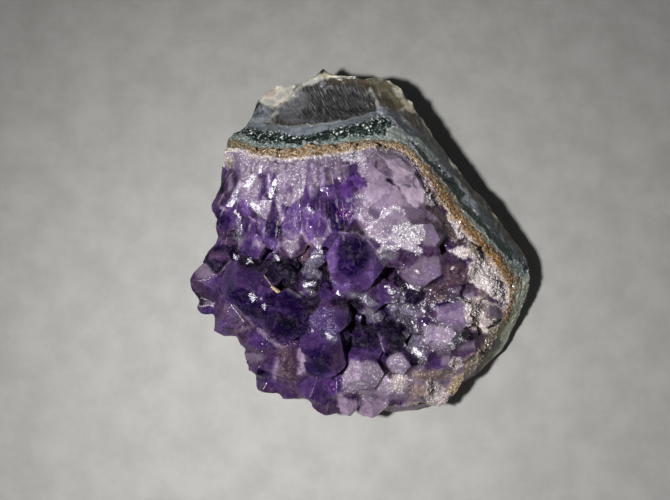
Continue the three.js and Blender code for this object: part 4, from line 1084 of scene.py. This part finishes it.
def make_rind(node, rim):
    tree = search_tree(node)
    root = np.array(seen_at(tree, *NUB[0])) - (0, 0, 1.2)
    tip = root + (NUB[1][0] - NUB[0][0], NUB[1][1] - NUB[0][1], 1.0)
    nub = crystal(root, tip, 1.7, 0.3, np.zeros(6))
    points, faces = join_crystals([nub], points_of(node), faces_of(node))
    rind = new_piece("rind_surface", points, faces)
    remeshed(rind, RIND_VOXEL)
    points = nudged(points_of(rind))
    move_points(rind, points)
    normals = normals_of(rind)
    places = read_places(points)
    outside = rim.outside(points)
    up = normals[:, 2]
    skin = 1 - smooth_step(0.20, 0.42, up + 0.2 * noise(points, 3, 11))
    direction = np.degrees(rim.angle_of(points))
    banded = smooth_step(BANDED[0] - BAND_FADE, BANDED[0] + BAND_FADE, direction)
    banded *= smooth_step(BANDED[1] + BAND_FADE, BANDED[1] - BAND_FADE, direction)
    skin = np.maximum(skin, 1 - banded)
    depth = band_depth(places + 0.25 * drift(points, 1.6, 12))

    lumps = 0.40 * noise(points, 6, 21) + 0.22 * noise(points, 2.4, 22) + 0.1 * noise(points, 1.1, 23)
    broken = 0.16 * noise(points, 2.2, 24) + chips(points, 1.8, 0.12, 25)
    grainy = chips(points, 0.9, 0.34, 26) * smooth_step(3.2, 2.8, depth)
    offset = mix(broken + grainy, lumps, skin)
    for start, end in RIDGES:
        offset += 0.45 * smooth_step(1.1, 0.1, way_to_stroke(places, start, end)) * smooth_step(0.2, 0.5, up)
    covered = smooth_step(0.3, -0.6, outside) * smooth_step(0.0, 0.3, up)
    offset = mix(offset, 0.45, covered)
    offset[points[:, 2] < 0.6] = 0
    move_points(rind, points + normals * offset[:, None])

    kinds = {name: np.array([*light_of(colour), *rest, 1.0]) for name, (colour, *rest) in RIND_KINDS.items()}
    look = np.tile(BARE_AGATE, (len(points), 1))
    warp = 0.4 * drift(points, 1.5, 31) + 0.2 * drift(points, 0.6, 33)
    look = painted(look, places, warp, RIND_STROKES, kinds, 0.3)
    tinted = np.clip(look[:, TINTED], 0, 1) * smooth_step(-0.8, -0.3, up)
    store(rind, depth=depth, tint=look[:, :3] / np.maximum(look[:, TINTED:], 0.05), tinted=tinted,
          streaked=look[:, STREAKED], rough=mix(look[:, AGATE_ROUGH], 0.7, skin * (1 - look[:, TINTED])),
          skin=skin * (1 - tinted))
    shade(rind, 40)
    rind.data.materials.append(rind_material())
    return rind


def crystal(root, tip, radius, turn, unevenness):
    """Points and faces of a quartz point: a six-sided prism with a head of six faces."""
    axis = unit(tip - root)
    side = unit(np.cross(axis, (0.31, 0.87, 0.39)))
    other = np.cross(axis, side)
    length = np.linalg.norm(tip - root)
    points = [root]
    for level in (0.0, max(length - radius * HEAD_HEIGHT, LEAST_PRISM * length)):
        for corner in range(6):
            angle = turn + corner * math.pi / 3
            reach = radius * (1 + unevenness[corner])
            lift = 0 if level == 0 else radius * HEAD_SKEW * unevenness[(corner + 2) % 6]
            out = reach * (math.cos(angle) * side + math.sin(angle) * other)
            points.append(root + axis * (level + lift) + out)
    points.append(tip)
    faces = []
    for corner in range(6):
        after = (corner + 1) % 6
        faces.append((0, 1 + after, 1 + corner))
        faces.append((1 + corner, 1 + after, 7 + after, 7 + corner))
        faces.append((7 + corner, 7 + after, 13))
    return points, faces


def uneven_crystal(root, tip, radius, random, most=0.2):
    """A quartz point with a turn of its own, each corner off by up to a share of the radius."""
    turn = random.uniform(0, 1)
    return crystal(root, tip, radius, turn, random.uniform(-most, most, 6))


def join_crystals(shapes, points=(), faces=()):
    """One list of points and one of faces, those that are given first, then those of many shapes."""
    points = list(points)
    faces = list(faces)
    for shape_points, shape_faces in shapes:
        first = len(points)
        points.extend(shape_points)
        faces.extend(tuple(first + corner for corner in face) for face in shape_faces)
    return np.array(points), faces


def palisade_columns(tree, random):
    """Columns that spread from the upper rim, between and on the large ones."""
    shapes = []
    for spread in np.arange(*FAN_TURNS):
        for top, low in FAN_ROWS:
            turn = math.radians(spread + random.uniform(-1.0, 1.0))
            way = np.array([math.sin(turn), -math.cos(turn)])
            start_place = FAN_MIDDLE + way * (top + random.uniform(-1.0, 2.0))
            end_place = FAN_MIDDLE + way * (low + random.uniform(-2.0, 2.0))
            start = seen_at(tree, *start_place)
            end = seen_at(tree, *end_place)
            if start is None or end is None or abs(start.z - end.z) > 5:
                continue
            root = np.array(start) - (0, 0, 0.9)
            tip = np.array(end) + (0, 0, random.uniform(-0.6, 0.5))
            radius = random.uniform(1.5, 2.3)
            shapes.append(uneven_crystal(root, tip, radius, random))
    return shapes


def gap_crystals(tree, rim, random):
    """Crystals in the gaps between the large ones."""
    shapes = []
    for x, y, radius, height, across, up in HOLLOW_CRYSTALS:
        start = np.array(seen_at(tree, x, y))
        axis = unit(np.array([across, up, height]))
        shapes.append(uneven_crystal(start - axis * 3, start + axis * height, radius, random))
    for foot, end, drop, radius in EDGE_CRYSTALS:
        start = np.array(seen_at(tree, *foot)) - (0, 0, 1.0)
        way = np.array([*end, READ_HEIGHT]) - READ_SHIFT - EYE
        tip = EYE + way * (start[2] - drop - EYE[2]) / way[2]
        shapes.append(uneven_crystal(start, tip, radius, random))
    for _ in range(GAP_TRIES):
        x = random.uniform(*GAP_ACROSS)
        y = random.uniform(*GAP_UP)
        here = height_above(tree, x, y)
        if here is None or rim.outside(np.array([[x, y, 0.0]]))[0] > -1.2:
            continue
        place = read_places(np.array([[x, y, here]]))[0]
        if any(math.dist(place, large[:2]) < large[2] + 0.8 for large in HOLLOW_CRYSTALS):
            continue
        around = [height for height in heights_round(tree, x, y, GAP_RING, 8) if height is not None]
        if len(around) < 6:
            continue
        lowness = float(np.median(around)) - here
        if lowness < GAP_DEPTH:
            continue
        start = np.array([x, y, here])
        axis = unit(LEAN_TO - start + random.normal(0, 13, 3))
        height = min(lowness * random.uniform(0.3, 0.75), 5.0)
        radius = random.uniform(0.9, 1.8)
        shapes.append(uneven_crystal(start - axis * 2.5, start + axis * height, radius, random))
    return shapes


def make_crust(node, rim):
    tree = search_tree(node)
    random = np.random.default_rng(5)
    shapes = palisade_columns(tree, random) + gap_crystals(tree, rim, random)
    points, faces = join_crystals(shapes, points_of(node), faces_of(node))
    crust = new_piece("crystal_crust", points, faces)
    move_points(crust, nudged(points_of(crust)))
    facets = Facets(crust, random)
    remeshed(crust, CRUST_VOXEL)
    merge_masses(crust)
    settle_at_rim(crust, rim)
    points = points_of(crust)
    crumble = looks_of(points, facets)[0][:, CRUMBLY]
    normals = normals_of(crust)
    places = read_places(points)
    fibre, fibre_place = fibres(points, places)
    offset = 0.08 * noise(points, 5.5, 41) + 0.04 * noise(points, 2.0, 42)
    offset += (chips(points, 1.5, 0.14, 43) + chips(points, 0.7, 0.14, 44)) * crumble
    offset += (0.08 * noise(fibre_place, 1.0, 45) + chips(fibre_place, 1.0, 0.08, 46)) * fibre
    move_points(crust, points + normals * offset[:, None])
    thinned(crust, MOST_TRIANGLES)
    paint_crust(crust, facets)
    shade(crust, 22)
    crust.data.materials.append(crystal_material())
    return crust


def merge_masses(crust):
    """Fills the gaps where crystals have grown into one mass.

    The low parts of each mass are raised. Then it swells, is remeshed and shrinks back.
    """
    points = points_of(crust)
    places = read_places(points)
    up = normals_of(crust)[:, 2]
    for raised, _, reach, *line in MASSES:
        outside = way_past_stroke(places, reach, line)
        across, along = (places - np.mean(np.reshape(line, (-1, 2)), axis=0)).T / 10
        ones = np.ones(len(points))
        terms = np.stack([ones, across, along, across ** 2, across * along, along ** 2], axis=1)
        inside = (outside < 0) & (up > 0.2)
        fit = np.linalg.lstsq(terms[inside], points[inside, 2], rcond=None)[0]
        short = terms @ fit + raised - points[:, 2]
        share = smooth_step(1.0, -2.5, outside) * (up > -0.1) * (short < 9)
        points[:, 2] += np.maximum(short, 0) * share
    move_points(crust, points)
    for turn in (1, -1):
        points = points_of(crust)
        places = read_places(points)
        way = np.zeros(len(points))
        for _, swell, reach, *line in MASSES:
            way = np.maximum(way, swell * smooth_step(1.5, -1.5, way_past_stroke(places, reach, line)))
        move_points(crust, points + normals_of(crust) * (turn * way)[:, None])
        if turn > 0:
            remeshed(crust, CRUST_VOXEL)


def settle_at_rim(crust, rim):
    """Lowers the crust's edge to the banded rim that it meets, so that it throws no shadow on the bands."""
    points = points_of(crust)
    direction = np.degrees(rim.angle_of(points))
    banded = smooth_step(BANDED[0] - 4, BANDED[0] + BAND_FADE, direction)
    banded *= smooth_step(*SETTLE_FADE, direction)
    inside = -rim.outside(points)
    level = rim.around(rim.inner[:, 2], points) + 0.2 + SETTLE_RISE * np.maximum(inside, 0)
    near = smooth_step(*SETTLE_INSIDE, inside)
    points[:, 2] -= SETTLE_SHARE * banded * near * np.maximum(points[:, 2] - level, 0)
    move_points(crust, points)


def fibres(points, places):
    """Where the palisade is, and places along and across its columns."""
    away = places - FAN_MIDDLE
    turn = np.arctan2(away[:, 0], -away[:, 1])
    length = np.linalg.norm(away, axis=1)
    share = smooth_step(-3, 1, places[:, 1]) * smooth_step(24, 21, places[:, 1])
    share *= smooth_step(3, 0, places[:, 0])
    along = np.column_stack([length, points[:, 2]]) / FIBRE_STRETCH
    return share, np.column_stack([turn * FAN_REACH, along])


def looks_of(surface, facets):
    """The look of each point of the crust, and the facet that it is on."""
    facet = facets.nearest(surface)
    exact = read_places(surface)
    warp = 0.35 * drift(surface, 1.6, 54) + 0.15 * drift(surface, 0.6, 58)
    loose = warp + 0.2 * (read_places(facets.middles[facet]) - exact)
    kinds = {name: np.array([*light_of(colour), *rest, name == "glint"])
             for name, (colour, *rest) in KINDS.items()}
    wine = smooth_step(0.0, 0.5, noise(surface, 8, 53))[:, None]
    look = mix(kinds["violet"], kinds["wine"], wine)
    look = painted(look, exact, loose, STROKES, kinds)
    # Glints are painted highlights: here they set clearness, roughness and the glint share, and the material
    # lays the bright colour on
    jagged = 0.4 * drift(surface, 0.8, 56)
    glinting = painted(look.copy(), exact, jagged, [("glint", *row) for row in GLINTS], kinds, 0.1)
    changed = [CLEAR, ROUGH, GLINT]
    look[:, changed] = glinting[:, changed]
    ragged = way_past_line(exact + 1.6 * warp, BAND_LINES[0]) + 0.3 * noise(surface, 0.7, 60)
    fringe = mix(kinds["sugar"], kinds["cream"], smooth_step(-8, 2, exact[:, :1]))
    thick = 0.5 + 0.9 * smooth_step(-0.5, 0.6, noise(surface, 2.6, 61))
    look = mix(look, fringe, (smooth_step(-thick, -0.3 * thick, ragged) * (ragged > -5))[:, None] * 0.85)
    earth = mix(kinds["ochre"], kinds["amber"], smooth_step(10, 24, exact[:, :1]))
    earth = mix(earth, kinds["brown"], smooth_step(-0.25, 0.25, noise(surface, 0.9, 62))[:, None])
    look = mix(look, earth, smooth_step(-0.2, 0.3, ragged)[:, None])
    look[:, :3] /= 1 - 0.8 * look[:, CLEAR, None]
    return look, facet


def paint_crust(crust, facets):
    points = points_of(crust)
    edges = edges_of(crust)
    look, facet = looks_of(points, facets)
    numbers = facets.numbers[facet]
    round_directions = normals_of(crust)
    relief = ((points - relaxed(points, edges, 4)) * round_directions).sum(axis=1)
    border = way_to_border(facet, points, edges, 2.5)
    core = smooth_step(0.3, 2.2, border) * (1 - look[:, CRUMBLY])
    # Paler convex edges and borders of clear facets: partly wear, partly a painted highlight
    edge = smooth_step(0.30, 0.0, border) * smooth_step(0.0, 0.05, relief)
    edge = np.maximum(edge, 0.6 * smooth_step(1.3, 0.0, border) * smooth_step(0.1, 0.35, look[:, CLEAR]))
    # Painted shade: darker in the hollow creases between facets, more on clear crystals
    crease_shade = smooth_step(0.5, 0.0, border) * smooth_step(0.0, 0.05, -relief)
    clear = look[:, CLEAR, None]
    tone = 1 + (0.12 + 0.6 * clear) * (numbers[:, :1] - 0.5)
    tone *= (1 - 0.4 * clear * core[:, None]) * (1 - (0.15 + 0.5 * clear) * crease_shade[:, None])
    look[:, :3] *= tone
    varied = look[:, CLEAR] + 0.25 * (numbers[:, 1] - 0.5)
    look[:, CLEAR] = np.clip(varied, 0, 1) * (1 - look[:, GLINT])
    look[:, ROUGH] *= 0.6 + 0.9 * numbers[:, 2]
    places = read_places(points)
    fibre, fibre_place = fibres(points, places)
    agreed = (round_directions * facets.directions[facet]).sum(axis=1)
    _, _, reach, *line = MASSES[0]
    merged = smooth_step(1.5, -1.5, way_past_stroke(places, reach, line))
    flat = smooth_step(0.45, 0.75, agreed) * (1 - 0.8 * look[:, CRUMBLY])
    flat *= (1 - 0.6 * fibre) * (1 - 0.5 * merged)
    direction = unit(mix(round_directions, facets.directions[facet], flat[:, None]))
    direction[:, 2] += 0.4 * smooth_step(0.8, 0.3, direction[:, 2])
    store(crust, direction=unit(direction), tint=np.clip(look[:, :3], 0, 0.95), clear=look[:, CLEAR],
          sparkle=look[:, SPARKLE], rough=look[:, ROUGH], glint=look[:, GLINT],
          edge=edge * (1 - look[:, GLINT]), crumble=look[:, CRUMBLY], fibre=fibre, fibre_place=fibre_place)


def rim_grains(crust, rind, rim, random):
    """Places and colours of the grains that hide the line between crust and rind, along the banded part."""
    trees = [search_tree(crust), search_tree(rind)]
    places = []
    colours = []
    while len(places) < RIM_GRAINS:
        angle = math.radians(random.uniform(BANDED[0], BANDED[1] - 12))
        way = np.interp(angle, rim.angles, rim.inner_radii) + random.normal(0.2, 0.6)
        x, y = Rim.spot(angle, way)
        here = max(height_above(tree, x, y, 0.0) for tree in trees)
        rings = [heights_round(tree, x, y, RIM_RING, 6, 0.0) for tree in trees]
        level = np.median(np.max(rings, axis=0))
        places.append((x, y, max(here, level - random.uniform(0.0, 0.3))))
        names = ("amber", "amber", "brown", "ochre")
        if x < AMBER_FROM:
            names = ("ochre", "ochre", "brown", "cream")
        colours.append(light_of(KINDS[random.choice(names)][0]))
    return places, colours


def make_druse(crust, rind, rim):
    """Grains of quartz, a joined mesh, where the crust is crumbly."""
    random = np.random.default_rng(8)
    points = points_of(crust)
    normals = normals_of(crust)
    crumble = numbers_of(crust.data.attributes["crumble"].data, "value", 1)[:, 0]
    chance = np.clip(crumble - 0.35, 0, 1) * (points[:, 2] > 6)
    chosen = random.choice(len(points), DRUSE_GRAINS, replace=False, p=chance / chance.sum())
    colours = numbers_of(crust.data.attributes["tint"].data, "color", 4)[:, :3]
    grains = [(points[index], normals[index], colours[index], 0.12, 0.34) for index in chosen]
    grains += [(np.array(place), np.array([0, 0, 1.0]), colour, 0.12, 0.28)
               for place, colour in zip(*rim_grains(crust, rind, rim, random))]
    shapes = []
    tints = []
    for place, normal, colour, least, most in grains:
        axis = unit(normal + random.normal(0, 0.45, 3))
        radius = random.uniform(least, most)
        height = radius * random.uniform(0.8, 1.7)
        root = place - axis * radius * 0.8
        shapes.append(uneven_crystal(root, place + axis * height, radius, random, 0.25))
        tints.append(np.clip(colour * random.uniform(0.7, 1.3), 0, 0.95))
    grain_points, faces = join_crystals(shapes)
    druse = new_piece("druse", grain_points, faces)
    each = len(shapes[0][0])
    nothing = np.zeros(len(grain_points))
    store(druse, tint=np.repeat(np.array(tints), each, axis=0),
          clear=np.repeat(random.uniform(0.0, 0.12, len(shapes)), each),
          rough=np.repeat(random.uniform(0.08, 0.3, len(shapes)), each),
          sparkle=np.full(len(grain_points), 0.15), edge=nothing, fibre=nothing, glint=nothing,
          fibre_place=grain_points, direction=np.array([face.normal for face in druse.data.polygons]))
    shade(druse, 5)
    druse.data.materials.append(crust.data.materials[0])
    return druse


def make_splinter(crust):
    """A dry splinter with a fine hair, caught among the crystals at the left."""
    tree = search_tree(crust)
    shapes = []
    for start, end, radius in SPLINTER:
        root = np.array(seen_at(tree, *start)) + (0, 0, 0.3)
        tip = np.array(seen_at(tree, *end)) + (0, 0, 0.4)
        shapes.append(crystal(root, tip, radius, 0.4, np.array([0.2, -0.1, 0.3, 0.0, -0.2, 0.1])))
    splinter = new_piece("splinter", *join_crystals(shapes))
    shade(splinter, 40)
    nodes = Nodes("dry_splinter")
    colour = nodes.blend(nodes.span(nodes.noise(0.4), 0.35, 0.65), (0.28, 0.19, 0.10), (0.60, 0.47, 0.30))
    splinter.data.materials.append(nodes.surface(base_color=colour, roughness=0.6))
    return splinter


def make_floor():
    corners = FLOOR_REACH * np.array([(-1, -1, 0), (1, -1, 0), (1, 1, 0), (-1, 1, 0)])
    floor = new_piece("floor", corners, [(0, 1, 2, 3)])
    floor.data.materials.append(floor_material())


def point_at(thing, place, target):
    thing.location = Vector(place) * MM
    thing.rotation_euler = Vector(target - place).to_track_quat("-Z", "Y").to_euler()


def add_camera():
    data = bpy.data.cameras.new("camera")
    data.lens = FOCAL_LENGTH
    data.sensor_width = SENSOR_WIDTH
    data.clip_start = 0.005
    camera = bpy.data.objects.new("camera", data)
    bpy.context.scene.collection.objects.link(camera)
    point_at(camera, EYE, TARGET)
    bpy.context.scene.camera = camera


def add_light(name, place, size, power, target):
    data = bpy.data.lights.new(name, "AREA")
    data.size = size * MM
    data.energy = power
    light = bpy.data.objects.new(name, data)
    bpy.context.scene.collection.objects.link(light)
    point_at(light, np.array(place), np.array(target))


def add_lights():
    for light in LIGHTS:
        add_light(*light)
    world = bpy.data.worlds.new("world")
    bpy.context.scene.world = world
    world.use_nodes = True
    background = world.node_tree.nodes["Background"]
    background.inputs["Color"].default_value = (*SKY_COLOUR, 1)
    background.inputs["Strength"].default_value = SKY_STRENGTH


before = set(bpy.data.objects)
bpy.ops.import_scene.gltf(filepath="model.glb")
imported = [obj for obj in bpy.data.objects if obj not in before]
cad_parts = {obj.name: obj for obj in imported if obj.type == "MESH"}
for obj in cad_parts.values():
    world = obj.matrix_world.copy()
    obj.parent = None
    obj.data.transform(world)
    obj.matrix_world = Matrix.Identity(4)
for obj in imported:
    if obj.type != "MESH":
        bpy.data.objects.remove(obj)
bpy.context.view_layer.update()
scene = bpy.context.scene
scene.view_settings.view_transform = "Standard"

rim = Rim(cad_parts["rind"])
rind = make_rind(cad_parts["rind"], rim)
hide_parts("rind")
crust = make_crust(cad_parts["amethyst_crust"], rim)
druse = make_druse(crust, rind, rim)
splinter = make_splinter(crust)
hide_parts("amethyst_crust")
for piece in (rind, crust, druse, splinter):
    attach(piece, "root")

make_floor()
add_camera()
add_lights()
